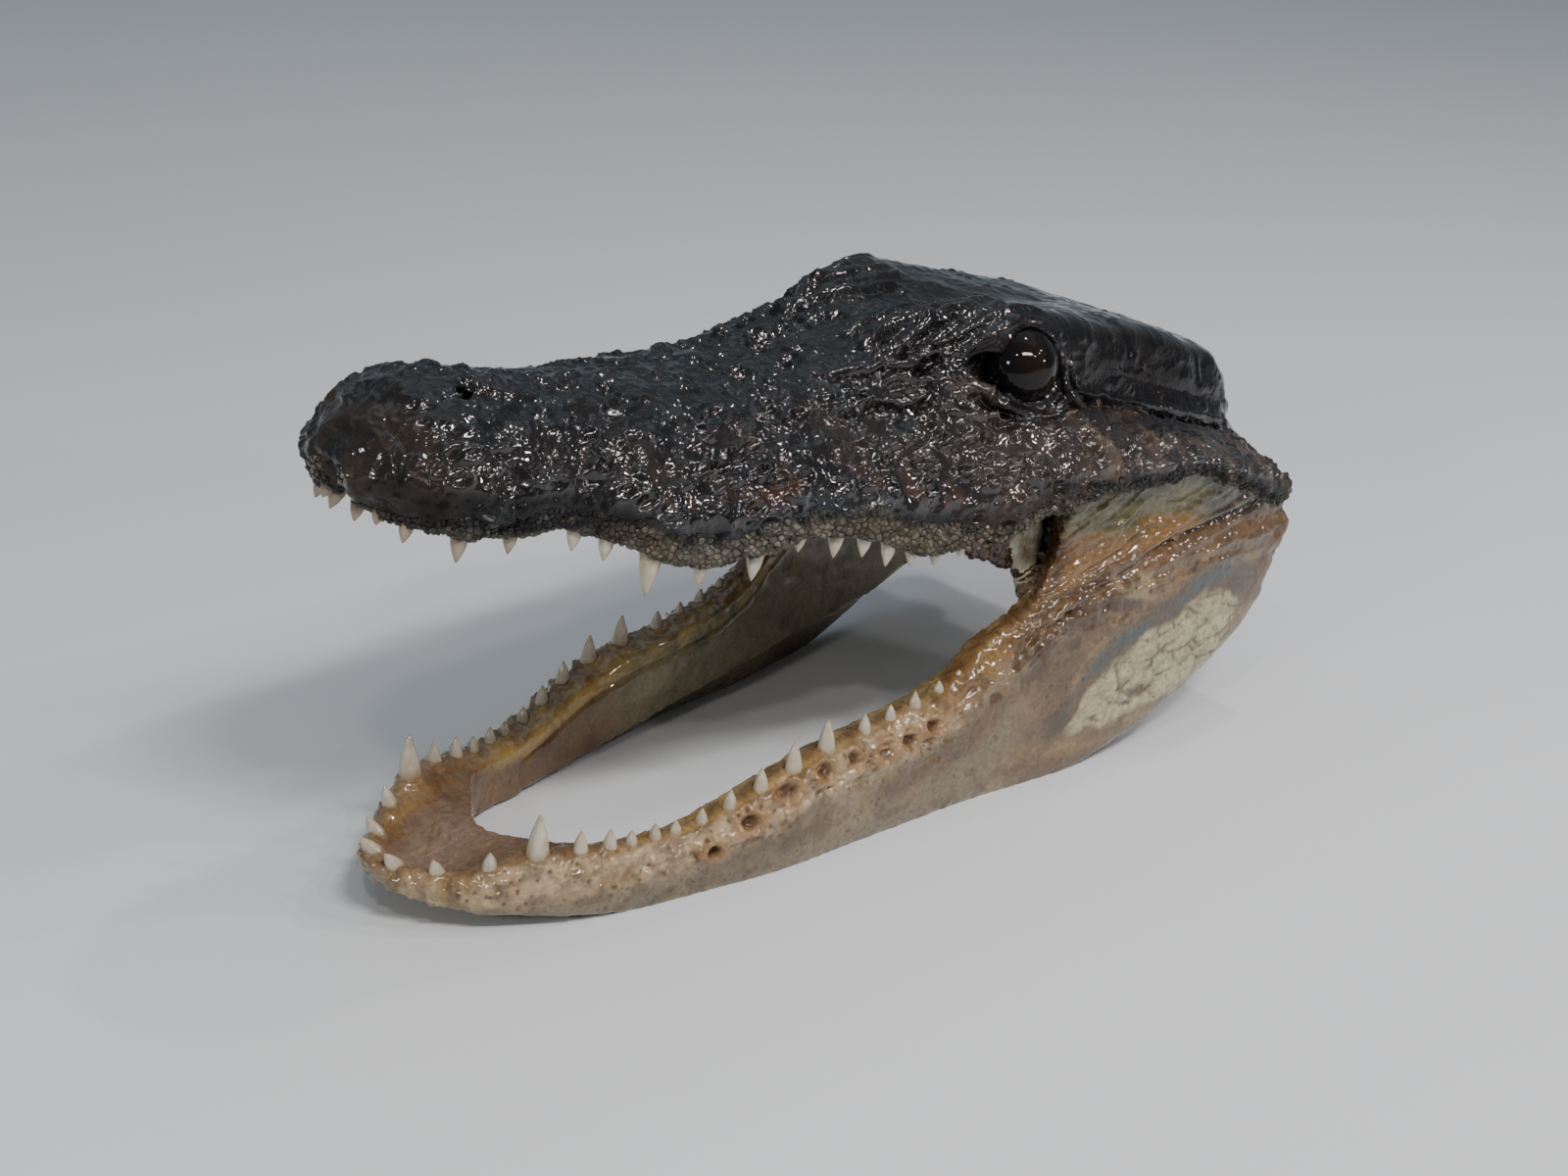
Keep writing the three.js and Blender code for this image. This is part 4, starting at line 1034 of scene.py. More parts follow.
def jaw_colour(place, n_big, n_mid, n_fine):
    """The jaw's outer side: pink gum, a grey lower edge that is partly painted shade, and an amber rear
    with painted shade in its pleats, its line of painted blue reflection and cream patch.
    """
    p, x, height = place.p, place.x, place.p[:, 2]
    pleat, _ = once(place, pleats)
    side = 1 - place.inner
    below = place.below + 2 * n_mid
    colour, on = layers(TAN, len(p))
    on(GREY_TAN, step(-0.3, 0.5, n_big) * 0.8)
    top_band = (1 - step(5, 10, below)) * step(-116, -100, x)
    on(PINK_TAN, top_band)
    on(WARM_LIGHT, 0.8 * top_band * step(-0.1, 0.4, n_mid))
    on((0.17, 0.10, 0.045), 0.6 * top_band * step(0.2, 0.55, n_mid + 0.5 * n_fine))
    on((0.25, 0.16, 0.070), 0.4 * step(2, 18, x + 3 * n_mid) * (1 - step(3, 8, place.below)))
    on((0.36, 0.27, 0.12), 0.6 * step(4, 14, x) * step(3, 8, below))
    across = height - wrinkle_line(x)
    on((0.40, 0.29, 0.17), 0.55 * bell(across - 0.8, 1.6) * window(-112, -12, 8, x)
       * step(-0.4, 0.3, n_mid))
    on((0.105, 0.066, 0.036), 0.9 * bell(across + 7.0 + 2.2 * n_mid, 3.4) * window(-110, -40, 10, x)
       * step(-0.35, 0.35, n_big + 0.35))
    # Darker grey low on the jaw's side: partly its own colour, partly painted shade and floor reflection
    # where it faces down.
    on((0.075, 0.070, 0.058), 0.5 * bell(height - 6 + 1.5 * n_mid, 3) * window(-60, -22, 8, x))
    on(GREY_TAN, 0.6 * (1 - step(3, 8, height + 2 * n_mid)) * step(-110, -90, x))
    on(AMBER, 0.85 * window(-128, -96, 6, x) * (1 - step(3, 8, below)))
    on(SOIL_BROWN, 0.7 * window(-150, -96, 8, x) * bell(across + 5 + 2 * n_mid, 4.5)
       * step(-0.3, 0.3, n_mid + 0.2))
    rear = step(-112, -128, x)
    on((0.125, 0.088, 0.052), rear)
    on((0.055, 0.036, 0.023), 0.75 * rear * step(-0.1, 0.4, n_mid + 0.5 * n_fine)
       * step(14, 8, place.below - 6))
    on(AMBER_BROWN, 0.6 * rear * (1 - step(3, 9, place.below + 3 * n_mid)))
    # Painted shade in the hollows of the pleats on the rear of the jaw.
    on((0.060, 0.030, 0.013), 0.85 * rear * (1 - step(8, 16, place.below)) * step(0.1, -0.4, pleat))
    on((0.30, 0.235, 0.135), 0.75 * rear * spot(place, (8, 46.5, -19.5), (9, 9, 3.2))
       * step(-0.4, 0.2, n_mid))
    on((0.070, 0.038, 0.018), 0.7 * window(-146, -106, 6, x) * bell(across + 2, 6)
       * step(0.0, 0.45, n_mid + 0.4 * n_fine))
    gap = height - PATCH_HIGH(np.maximum(x, -182))
    # Painted reflection: a blue line above the pale patch.
    blue_reflection_gap = height - BLUE_REFLECTION_LINE(np.clip(x, -198, -128)) + 1.2 * n_mid
    on((0.052, 0.080, 0.084), 0.9 * window(-200, -130, 5, x) * bell(blue_reflection_gap, 2.6)
       * step(-0.7, 0.0, n_big + 0.5 * n_fine))
    on((0.060, 0.062, 0.056), 0.8 * bell(x + 185, 5) * bell(height - 37, 4.5))
    on((0.24, 0.155, 0.075), 0.7 * rear * bell(gap - 9 + 1.5 * n_mid, 2.4)
       * step(-0.3, 0.3, n_fine + 0.1))
    on((0.05, 0.026, 0.014), 0.8 * rear * step(0.27, 0.15, once(place, dot_field)) * step(2, 5, gap))
    on((0.055, 0.045, 0.035), 0.8 * bell(x + 130, 3.2) * bell(height - 13, 9))
    low_gap = height - PATCH_LOW(np.maximum(x, -186))
    on(SOIL_BROWN, rear * 0.75 * step(1.5, -2, low_gap))
    on((0.25, 0.19, 0.095), 0.75 * rear * bell(low_gap + 3.2 + n_mid, 2.6))
    on((0.115, 0.072, 0.038), 0.85 * step(-189, -195, x))
    patch = once(place, cream_patch)
    mottle = noise(drawn(p, 0.6), 2.6, 84) + 0.5 * n_fine
    on((0.085, 0.060, 0.036), 0.5 * step(0.1, 0.6, mottle))
    on(CREAM, patch * (0.88 + 0.25 * n_mid))
    on((0.24, 0.225, 0.135), 0.5 * patch * step(0.0, 0.5, n_fine + 0.5 * n_mid))
    crack, fine_crack = once(place, crack_lines)
    on((0.085, 0.066, 0.038), patch * np.clip(0.85 * crack + 0.42 * fine_crack, 0, 1))
    on((0.045, 0.040, 0.030), 0.85 * patch * step(0.15, 0.08, cells(p, 3.3, 67, patch)[0])
       * step(0, 0.2, n_mid))
    hollow, edge = once(place, pit_fields)
    on((0.085, 0.035, 0.010), 0.95 * hollow)
    on((0.26, 0.125, 0.04), 0.6 * edge)
    dotted = top_band + 0.5 * window(-110, 10, 10, x) * (1 - step(10, 16, place.below))
    spotted = side * np.clip(dotted, 0, 1)
    on((0.07, 0.035, 0.018), 0.85 * spotted * step(0.26, 0.14, once(place, dot_field)))
    return colour


def mouth_colour(place, n_mid):
    """The jaw's inner side and the bed of the tongue."""
    x, out = place.x, place.out
    colour, on = layers(INNER_BROWN, len(x))
    on((0.09, 0.042, 0.018), 0.7 * step(-0.1, 0.5, n_mid))
    on(YELLOW, (1 - step(2.5, 6, place.below + n_mid)) * step(-14, -30, x) * 0.85)
    on(BONE_GREEN, step(-50, -72, x + 8 * n_mid) * (0.65 + 0.5 * n_mid))
    on((0.10, 0.088, 0.055), step(-60, -90, x) * step(0.0, 0.5, n_mid) * 0.7)
    on(SOIL_BROWN, step(-96, -125, x) * step(0.0, 0.5, n_mid) * 0.8)
    middle = bell(out, 9) * step(-12, 0, x)
    on((0.24, 0.165, 0.115), 0.8 * middle * step(-0.3, 0.3, n_mid + 0.2))
    on((0.27, 0.175, 0.075), 0.6 * step(-6, 0, x) * (1 - step(1, 3, place.below)) * step(9, 14, out))
    return colour


def tone(place):
    """Colour of hide and scales, and their look: roughness, specks, fine bump and lacquer."""
    p = place.p
    n_big, n_mid, n_fine = layered(p, 14, 71), layered(p, 5, 72), noise(p, 1.7, 73)
    side = 1 - place.inner
    below = place.below + 2 * n_mid
    scaly = once(place, scaled) * place.upper
    patch = once(place, cream_patch)
    lower = jaw_colour(place, n_big, n_mid, n_fine) * side[:, None]
    lower += mouth_colour(place, n_mid) * place.inner[:, None]
    colour = upper_colour(place, n_big, n_mid, n_fine) * place.upper[:, None]
    colour += cheek_colour(place, n_mid, n_fine) * place.cheek[:, None]
    colour += lower * place.lower[:, None]
    rough = (0.16 * place.upper + 0.24 * place.cheek + 0.30 * place.lower
             + 0.06 * place.lower * place.inner)
    rough += (0.16 * scaly + 0.10 * patch + 0.15 * place.palate
              + 0.1 * place.lower * step(8, 14, place.below))
    specks = place.lower * side * step(5, 10, below) * (1 - patch) * step(-118, -100, place.x)
    specks = np.clip(specks + 0.3 * place.lower * side * (1 - patch), 0, 1)
    bumpy = np.clip(place.upper * 0.6 + place.lower * 0.55 + place.cheek * 0.5, 0, 1)
    temple = once(place, temple_side) * (1 - step(0.5, 0.8, place.n[:, 2]))
    lacquer = 1 - place.upper * np.clip(0.88 * step(0.32, -0.08, place.n[:, 2]) + 0.45 * temple, 0, 0.88)
    look = np.stack([np.clip(rough, 0, 1), specks, bumpy, lacquer], axis=1)
    return np.clip(colour, 0.002, 1), look


def point_colours(obj, name, *channels):
    """Stores up to four numbers for each vertex. The fourth is 1 unless it is given."""
    rows = np.zeros((len(obj.data.vertices), 4), dtype=np.float32)
    rows[:, 3] = 1
    rows[:, :len(channels)] = np.stack(channels, axis=1)
    obj.data.attributes.new(name, "FLOAT_COLOR", "POINT").data.foreach_set("color", rows.ravel())


def paint(obj, colour, look):
    point_colours(obj, "tone", *colour.T)
    point_colours(obj, "look", *look.T)


def bake_map(obj, places):
    """The map for baking, from a place for each vertex."""
    spots = places[corners_of(obj.data)].astype(np.float32)
    obj.data.uv_layers.new(name="OFBake").data.foreach_set("uv", spots.ravel())


# ---- Skin ----
raw = raw_head()
hide = remeshed(raw, "hide", SKIN_VOXEL, 3)
mesh = hide.data
base_points = points_of(mesh)
base_normals = unit(smoothed(normals_of(mesh), edges_of(mesh), 2))
hide_place = Place(base_points, base_normals)
hide_points = base_points + base_normals * (relief(hide_place) - COAT * coated(hide_place))[:, None]
hide_points[:, 2] = np.maximum(hide_points[:, 2], 0)
set_points(mesh, hide_points)
paint(hide, *tone(hide_place))
print("hide", len(mesh.polygons), "quads")


# ---- Plates: the coat's outer face with all its folds, in closed pieces about 5 mm across ----
def tree_of(points):
    tree = KDTree(len(points))
    for i, p in enumerate(points):
        tree.insert(p, i)
    tree.balance()
    return tree


def close_by(grid, cell):
    """What a grid holds in the 27 cells round one cell."""
    cx, cy, cz = cell
    return (item for ox in (-1, 0, 1) for oy in (-1, 0, 1) for oz in (-1, 0, 1)
            for item in grid.get((cx + ox, cy + oy, cz + oz), ()))


def spread(points, spacing):
    """Well spaced picks from many points, as indices."""
    order = rng.permutation(len(points))
    cell = np.floor(points / spacing).astype(int)
    grid, kept = {}, []
    limit = spacing * spacing
    for i in order[:: max(1, len(points) // MOST_TRIED)]:
        x, y, z = points[i]
        if all((x - a) ** 2 + (y - b) ** 2 + (z - c) ** 2 > limit for a, b, c in close_by(grid, cell[i])):
            grid.setdefault(tuple(cell[i]), []).append((x, y, z))
            kept.append(i)
    return np.array(kept)


fine = remeshed(raw, "fine", PLATE_VOXEL, 4)
bpy.data.objects.remove(raw)
quads = corners_of(fine.data).reshape(-1, 4)
fine_points = points_of(fine.data)
fine_normals = unit(smoothed(normals_of(fine.data), edges_of(fine.data), 5))
cover = coated(Place(fine_points, fine_normals))
quads = quads[(cover[quads] > COVERED).all(axis=1)]
used, quads = np.unique(quads, return_inverse=True)
quads = quads.reshape(-1, 4)
fine_points, fine_normals, cover = fine_points[used], fine_normals[used], cover[used]
bpy.data.objects.remove(fine)
plate_place = Place(fine_points, fine_normals)
lift = relief(plate_place) - 0.7 * (1 - step(0.35, 0.8, cover)) - 0.32 * once(plate_place, scaled)
plate_points = fine_points + fine_normals * lift[:, None]
plate_points[:, 2] = np.maximum(plate_points[:, 2], 0)
corners = plate_points[quads]
crossed = np.cross(corners[:, 2] - corners[:, 0], corners[:, 3] - corners[:, 1])
plate_normals = np.zeros_like(plate_points)
for k in range(4):
    for axis in range(3):
        plate_normals[:, axis] += np.bincount(quads[:, k], crossed[:, axis], len(plate_points))
plate_normals = unit(plate_normals)
plate_colour, plate_look = tone(plate_place)
plate_colour *= 1 - (0.35 + 0.25 * plate_place.lower[:, None]) * once(plate_place, scaled)[:, None]
print("plates", len(quads), "quads")


def place_of(p):
    return Place(p, np.tile([0.0, 0, 1], (len(p), 1)))


def unwrap(p):
    """Where a point lies on a flattening of the hide: the upper head, then the two jaw halves."""
    place = place_of(p)
    turn = np.arctan2(place.y, place.z + 4) / (2 * math.pi)
    upper = np.stack([0.02 + 0.46 * (place.s + 45) / 250, 0.5 + 0.96 * turn], axis=1)
    middle = inside(place.x) + wall(place.x) * 0.5
    jaw_turn = (np.arctan2(place.out - middle, p[:, 2] - 0.5 * (rim(place.x) + keel(place.x)))
                / (2 * math.pi))
    row = np.where(place.y > 0, 0.75, 0.25)
    lower = np.stack([0.52 + 0.46 * (place.x + 205) / 235, row + 0.46 * jaw_turn], axis=1)
    return np.where((place.upper > 0.5)[:, None], upper, lower)


REGIONS = ["muzzle", "snout", "brow", "crown", "chin", "jaw", "cheek"]
REGION_SLOTS = ["dark_hide"] * 4 + ["pale_hide"] * 2 + ["dried_membrane"]
CROWN_END, BROW_END, SNOUT_END = 34, 84, 132      # s of the borders between the regions of the upper head
CHIN_START = -62                                  # jaw x


def region(p):
    """Which region a point belongs to, by its number in the list."""
    place = place_of(p)
    low = np.where(place.cheek > 0.5, 6, np.where(place.x > CHIN_START, 4, 5))
    high = 3 - sum((place.s > end).astype(int) for end in (CROWN_END, BROW_END, SNOUT_END))
    return np.where(place.upper > 0.5, high, low)


def shares(kind, y):
    """Name, region and members of each piece: every region, left and right."""
    for g, name in enumerate(REGIONS):
        for side, label in BOTH_SIDES:
            mine = np.flatnonzero((kind == g) & (np.sign(y + 1e-9) == side))
            if len(mine):
                yield f"{name}_{label}", g, mine


def plate_pieces():
    middle = corners.mean(axis=1)
    seeds = middle[spread(middle, PLATE_SPACING)]
    tree = tree_of(seeds)
    jitter = middle + 0.7 * np.stack([noise(middle, 2.5, seed) for seed in (101, 102, 103)], axis=1)
    owner = np.array([tree.find(p)[1] for p in jitter])
    wall_down = plate_points - plate_normals * PLATE_WALL
    pieces = []
    for name, g, mine in shares(region(seeds)[owner], seeds[owner, 1]):
        # Vertices are shared inside a plate only
        key = (owner[mine][:, None].astype(np.int64) * len(plate_points) + quads[mine]).ravel()
        keys, index = np.unique(key, return_inverse=True)
        top = index.reshape(-1, 4)
        source = keys % len(plate_points)
        count = len(keys)
        edge = np.concatenate([top[:, [k, (k + 1) % 4]] for k in range(4)])
        code = edge.min(axis=1).astype(np.int64) * count + edge.max(axis=1)
        _, first, times = np.unique(code, return_index=True, return_counts=True)
        rim_edges = edge[first[times == 1]]
        rim_verts, rim_index = np.unique(rim_edges, return_inverse=True)
        rim_index = rim_index.reshape(-1, 2) + count
        plates, first, centre = np.unique(keys // len(plate_points), return_index=True,
                                          return_inverse=True)
        sunk = plate_points[source] - plate_normals[source] * PLATE_DEPTH
        deep = np.stack([np.bincount(centre, sunk[:, a]) / np.bincount(centre) for a in range(3)], axis=1)
        hub = count + len(rim_verts) + centre[rim_edges[:, 0]]
        verts = np.vstack([plate_points[source], wall_down[source[rim_verts]], deep])
        origin = np.concatenate([source, source[rim_verts], source[first]])
        skirt = np.stack([rim_edges[:, 1], rim_edges[:, 0], rim_index[:, 0], rim_index[:, 1]], axis=1)
        caps = np.stack([rim_index[:, 1], rim_index[:, 0], hub], axis=1)
        obj = store(f"plates_{name}", verts, top.tolist() + skirt.tolist() + caps.tolist(), MM)
        paint(obj, plate_colour[origin], plate_look[origin])
        places = unwrap(fine_points[origin])
        low, high = places.min(axis=0), places.max(axis=0)
        bake_map(obj, 0.01 + 0.98 * (places - low) / (high - low))
        split = plate_normals[origin][corners_of(obj.data)]
        walls = unit(np.cross(verts[skirt[:, 2]] - verts[skirt[:, 0]], verts[skirt[:, 3]]
                              - verts[skirt[:, 1]]))
        under = unit(np.cross(verts[caps[:, 1]] - verts[caps[:, 0]], verts[caps[:, 2]]
                              - verts[caps[:, 0]]))
        split[len(top) * 4:] = np.concatenate([np.repeat(walls, 4, axis=0), np.repeat(under, 3, axis=0)])
        obj.data.shade_smooth()
        obj.data.normals_split_custom_set(split.tolist())
        print(obj.name, len(plates), "plates", 2 * len(top) + 3 * len(rim_edges), "triangles")
        pieces.append((obj, REGION_SLOTS[g]))
    return pieces


plates = plate_pieces()


# ---- Scales ----
def scattered(points, triangles, spacing):
    """Well spaced places on the hide, their spacing, and the face corners and weights of each."""
    a, b, c = (points[triangles[:, k]] for k in range(3))
    area = np.linalg.norm(np.cross(b - a, c - a), axis=1) / 2
    chance = np.where(spacing > 0, area / np.maximum(spacing, 0.1) ** 2, 0)
    count = int(chance.sum() * 9)
    pick = rng.choice(len(triangles), count, p=chance / chance.sum())
    u, v = rng.random(count), rng.random(count)
    over = u + v > 1
    u[over], v[over] = 1 - u[over], 1 - v[over]
    place = a[pick] + u[:, None] * (b - a)[pick] + v[:, None] * (c - a)[pick]
    want = spacing[pick] * rng.uniform(0.62, 1.3, count)
    grid, kept = {}, []
    cell = np.floor(place / GRID_CELL).astype(int)

    def clear(i):
        x, y, z = place[i]
        for a, b, c, other in close_by(grid, cell[i]):
            limit = 0.42 * (want[i] + other)
            if (x - a) ** 2 + (y - b) ** 2 + (z - c) ** 2 < limit * limit:
                return False
        return True

    for i in range(count):
        if clear(i):
            grid.setdefault(tuple(cell[i]), []).append((*place[i], want[i]))
            kept.append(i)
    tri = triangles[pick[kept]]
    w = np.stack([1 - u[kept] - v[kept], u[kept], v[kept]], axis=1)
    return place[kept], want[kept], tri, w


CORNERS = 10
RINGS = [(1.02, -0.55), (0.96, 0.35), (0.78, 0.88),
         (0.42, 1.0)]     # share of a scale's radius, and its height
PATCH_RADIUS = 0.0015   # of one scale on the map for baking


def scale_meshes():
    triangles = np.concatenate([quads[:, [0, 1, 2]], quads[:, [0, 2, 3]]])
    lips = (once(plate_place, scaled) > 0.45) & (plate_place.upper > 0.5)
    triangles = triangles[lips[triangles].any(axis=1)]
    spots, spacing, tri, w = scattered(plate_points, triangles,
                                       lips[triangles].all(axis=1) * SCALE_SPACING)
    facing = unit((plate_normals[tri] * w[:, :, None]).sum(axis=1))
    count = len(spots)
    tree = tree_of(spots)
    neighbours = np.array([[hit[1] for hit in tree.find_n(p, 13)][1:] for p in spots])
    across = np.cross(facing, [math.cos(GAPE), 0, math.sin(GAPE)])
    weak = np.linalg.norm(across, axis=1) < 0.2
    across[weak] = np.cross(facing[weak], [0.0, 0, 1])
    across = unit(across)
    first = np.cross(across, facing)
    offset = spots[neighbours] - spots[:, None]
    dx = (offset * first[:, None]).sum(axis=2) / SCALE_STRETCH
    dy = (offset * across[:, None]).sum(axis=2) * SCALE_STRETCH
    reach = np.maximum(spacing[:, None] / (spacing[:, None] + spacing[neighbours]) * np.hypot(dx, dy),
                       0.25)
    heading = np.arctan2(dy, dx)
    turn = (np.linspace(0, 2 * math.pi, CORNERS, endpoint=False)[None]
            + rng.uniform(0, 0.5, count)[:, None])
    facing_edge = np.maximum(np.cos(turn[:, :, None] - heading[:, None, :]), 0) / reach[:, None, :]
    sharp = CORNER_SHARPNESS
    radius = ((facing_edge**sharp).sum(axis=2) + (1 / (1.05 * spacing[:, None])) ** sharp) ** (-1 / sharp)
    radius = np.maximum(radius - SCALE_GAP, 0.2)
    ex = np.cos(turn) * radius * SCALE_STRETCH
    ey = np.sin(turn) * radius / SCALE_STRETCH
    surface = BVHTree.FromPolygons(plate_points.tolist(), triangles.tolist())
    per = CORNERS * len(RINGS) + 2
    flat, lifts = [], []
    own = rng.uniform(0.75, 1.25, count)
    tilt = rng.uniform(-0.3, 0.3, (count, 2))
    for share, lift in RINGS:
        flat.append(spots[:, None] + first[:, None] * (ex * share)[..., None] + across[:, None]
                    * (ey * share)[..., None])
        slope = (tilt[:, :1] * np.cos(turn) + tilt[:, 1:] * np.sin(turn)) * share * (lift > 0)
        lifts.append(SCALE_HEIGHT * own[:, None] * (lift + slope))
    flat = np.concatenate(flat + [spots[:, None], spots[:, None]], axis=1)
    lifts = np.concatenate(lifts + [SCALE_HEIGHT * own[:, None], -0.6 * np.ones((count, 1))], axis=1)
    probe = flat.reshape(-1, 3)
    found = [surface.find_nearest(p) for p in probe.tolist()]
    where = np.array([hit[0] for hit in found])
    normal = plate_normals[triangles[np.array([hit[2] for hit in found])]].mean(axis=1)
    colour, look = tone(Place(where, normal))
    normal = unit(normal.reshape(count, per, 3) + 0.6 * facing[:, None])
    grain = 0.12 * SCALE_HEIGHT * (noise(probe, 0.9, 81) + noise(probe, 0.5, 82)).reshape(count, per)
    grain[lifts < 0] = 0
    verts = where.reshape(count, per, 3) + normal * (lifts + grain)[..., None]
    verts[..., 2] = np.maximum(verts[..., 2], 0)
    sides = np.arange(CORNERS)
    nxt = (sides + 1) % CORNERS
    pattern = []
    for k in range(len(RINGS) - 1):
        a, b = k * CORNERS + sides, k * CORNERS + nxt
        pattern += np.stack([a, b, b + CORNERS, a + CORNERS], axis=1).tolist()
    top, bottom = per - 2, per - 1
    last = (len(RINGS) - 1) * CORNERS
    caps = ([[last + i, last + j, top] for i, j in zip(sides, nxt)]
            + [[j, i, bottom] for i, j in zip(sides, nxt)])
    shade = (rng.uniform(0.5, 1.35, count)[:, None]
             * np.where(lifts < 0, 0.3, np.where(lifts < 0.4 * SCALE_HEIGHT, 0.6, 1.05)))
    colour = colour * shade.reshape(-1)[:, None]
    local = np.concatenate([np.stack([np.cos(turn) * share, np.sin(turn) * share], axis=2) for share,
                            _ in RINGS]
                           + [np.zeros((count, 2, 2))], axis=1)
    uv = unwrap(spots)[:, None] + PATCH_RADIUS * local
    pieces = []
    for name, g, pick in shares(region(spots), spots[:, 1]):
        faces = [[m * per + i for i in face] for m in range(len(pick)) for face in pattern + caps]
        obj = store(f"scales_{name}", verts[pick].reshape(-1, 3), faces, MM)
        obj.data.shade_smooth()
        index = (pick[:, None] * per + np.arange(per)[None]).ravel()
        paint(obj, colour[index], look[index])
        bake_map(obj, uv[pick].reshape(-1, 2))
        print(obj.name, len(pick), "scales", len(pick) * (CORNERS * (2 * (len(RINGS) - 1) + 2)),
              "triangles")
        pieces.append((obj, "dark_hide" if g < REGIONS.index("chin") else "pale_hide"))
    return pieces


scales = scale_meshes()
mesh.transform(Matrix.Scale(MM, 4))


# ---- Teeth ----
def tooth_mesh(base, lean, length, bend, seed):
    """A curved cone on a flared root, with the parts' share of the height as an attribute."""
    radius = 0.9 + 0.165 * length
    profile = [(-2.5, 0.95), (-1.0, 1.04), (0.0, 1.03)]
    profile += [(t * length, (1 - t**1.25) ** 0.74 * 1.02 * (1 - 0.03 * math.sin(t * 9)))
                for t in np.linspace(0.06, 0.97, 16)]
    sides = 22
    lean = np.array(lean, float) / np.linalg.norm(lean)
    side_way = np.cross(lean, [1.0, 0, 0])
    side_way /= np.linalg.norm(side_way)
    front = np.cross(side_way, lean)
    turn = np.linspace(0, 2 * math.pi, sides, endpoint=False)
    rings, share = [], []
    wobble = 1 + 0.05 * np.sin(turn * 3 + seed) + 0.03 * np.sin(turn * 7 + 2 * seed)
    for rise, wide in profile:
        t = max(rise, 0) / length
        r = radius * wide * wobble
        centre = np.array(base) + lean * rise + np.array(bend) * length * t * t
        rings.append(centre + np.outer(np.cos(turn) * r * 1.05, front)
                     + np.outer(np.sin(turn) * r * 0.95, side_way))
        share += [rise / length] * sides
    verts, faces = loft(np.array(rings))
    verts[-1] = np.array(base) + lean * length + np.array(bend) * length
    return verts, faces, share + [-0.5, 1.0]


def tooth_row(name, teeth):
    made = [tooth_mesh(*tooth, i * 1.7) for i, (*tooth, _) in enumerate(teeth)]
    obj = faced_out(store(name, *merged([body[:2] for body in made]), MM))
    wear = [np.full(len(body[2]), tooth[-1]) for body, tooth in zip(made, teeth)]
    point_colours(obj, "share", np.concatenate([body[2] for body in made]), np.concatenate(wear))
    return obj


lower_row, upper_row = [], []
for side in (1, -1):
    for x, length, forward, outward in LOWER_TEETH:
        base = (x + TOOTH_FOUR_X, side * (float(tooth_line(x)) - 1), float(rim(x)) - 0.3)
        lower_row.append((base, (forward, side * outward, 1), length, (-0.05, side * -0.05, 0),
                          0.15 * (length < 4)))
    for s, length in UPPER_TEETH:
        forward = 0.1 + 0.25 * math.exp(-(((s - UPPER_TIP) / 9) ** 2))
        y, z = float(upper_tooth_line(s)), float(lip(s)) + 0.5
        base = from_skull(s, side * y, z)
        tip = from_skull(s + forward, side * (y + 0.2), z - 1) - base
        upper_row.append((base, tip, 1.1 * length, (-0.06, side * -0.05, 0), 0.75 if s > 168 else 0.2))
teeth_lower = tooth_row("teeth_lower", lower_row)
teeth_upper = tooth_row("teeth_upper", upper_row)


# ---- Eyes ----
def eye_piece(side, label):
    centre = on_side(EYE, side)
    obj = ball(f"eyeball_{label}", centre, (EYE_RADIUS,) * 3, 0, 96)
    pts = points_of(obj.data)
    gaze = on_side(EYE + [0.12, 0.92, 0.37], side) - centre
    gaze /= np.linalg.norm(gaze)
    angle = np.degrees(np.arccos(np.clip((pts - centre) @ gaze / EYE_RADIUS, -1, 1)))
    pts = pts + gaze * (0.35 * step(34, 10, angle))[:, None]
    set_points(obj.data, pts)
    flat = (pts - centre) @ np.array([math.cos(GAPE), 0, math.sin(GAPE)])
    point_colours(obj, "gaze", angle / 90, flat / EYE_RADIUS * 0.5 + 0.5)
    obj.data.transform(Matrix.Scale(MM, 4))
    return obj


eyes = [eye_piece(side, label) for side, label in BOTH_SIDES]


# ---- Materials ----
def shader(name, **sockets):
    material = bpy.data.materials.new(name)
    material.use_nodes = True
    principled = material.node_tree.nodes["Principled BSDF"]
    for key, value in sockets.items():
        principled.inputs[key.replace("_", " ")].default_value = value
    return material, material.node_tree, principled


def node(tree, kind, **settings):
    made = tree.nodes.new(kind)
    for key, value in settings.items():
        if key in made.inputs:
            made.inputs[key].default_value = value
        else:
            setattr(made, key, value)
    return made


def filled(made, sources):
    """The node with its inputs linked or set, each by number or name."""
    for key, source in sources.items():
        if hasattr(source, "links"):
            made.id_data.links.new(source, made.inputs[key])
        else:
            made.inputs[key].default_value = source
    return made


def mixed(tree, kind, factor, a, b):
    made = node(tree, "ShaderNodeMix", data_type="RGBA", blend_type=kind)
    return filled(made, {0: factor, 6: (*a, 1) if isinstance(a, tuple) else a,
                         7: (*b, 1) if isinstance(b, tuple) else b}).outputs[2]


def ranged(tree, source, low, high, to_low, to_high):
    made = node(tree, "ShaderNodeMapRange", clamp=True)
    return filled(made, {"Value": source, "From Min": low, "From Max": high, "To Min": to_low,
                         "To Max": to_high}).outputs["Result"]


def maths(tree, kind, a, b=0.0):
    return filled(node(tree, "ShaderNodeMath", operation=kind), {0: a, 1: b}).outputs[0]


def texture(tree, kind, **settings):
    """A texture in the object's own coordinates."""
    made = node(tree, f"ShaderNodeTex{kind}", **settings)
    return filled(made, {"Vector": node(tree, "ShaderNodeTexCoord").outputs["Object"]}).outputs[0]


def attribute(tree, name):
    """A point attribute: its three channels, its colour and its alpha."""
    made = node(tree, "ShaderNodeAttribute", attribute_name=name)
    parts = filled(node(tree, "ShaderNodeSeparateColor"), {0: made.outputs["Color"]})
    return (*parts.outputs, made.outputs["Color"], made.outputs["Alpha"])


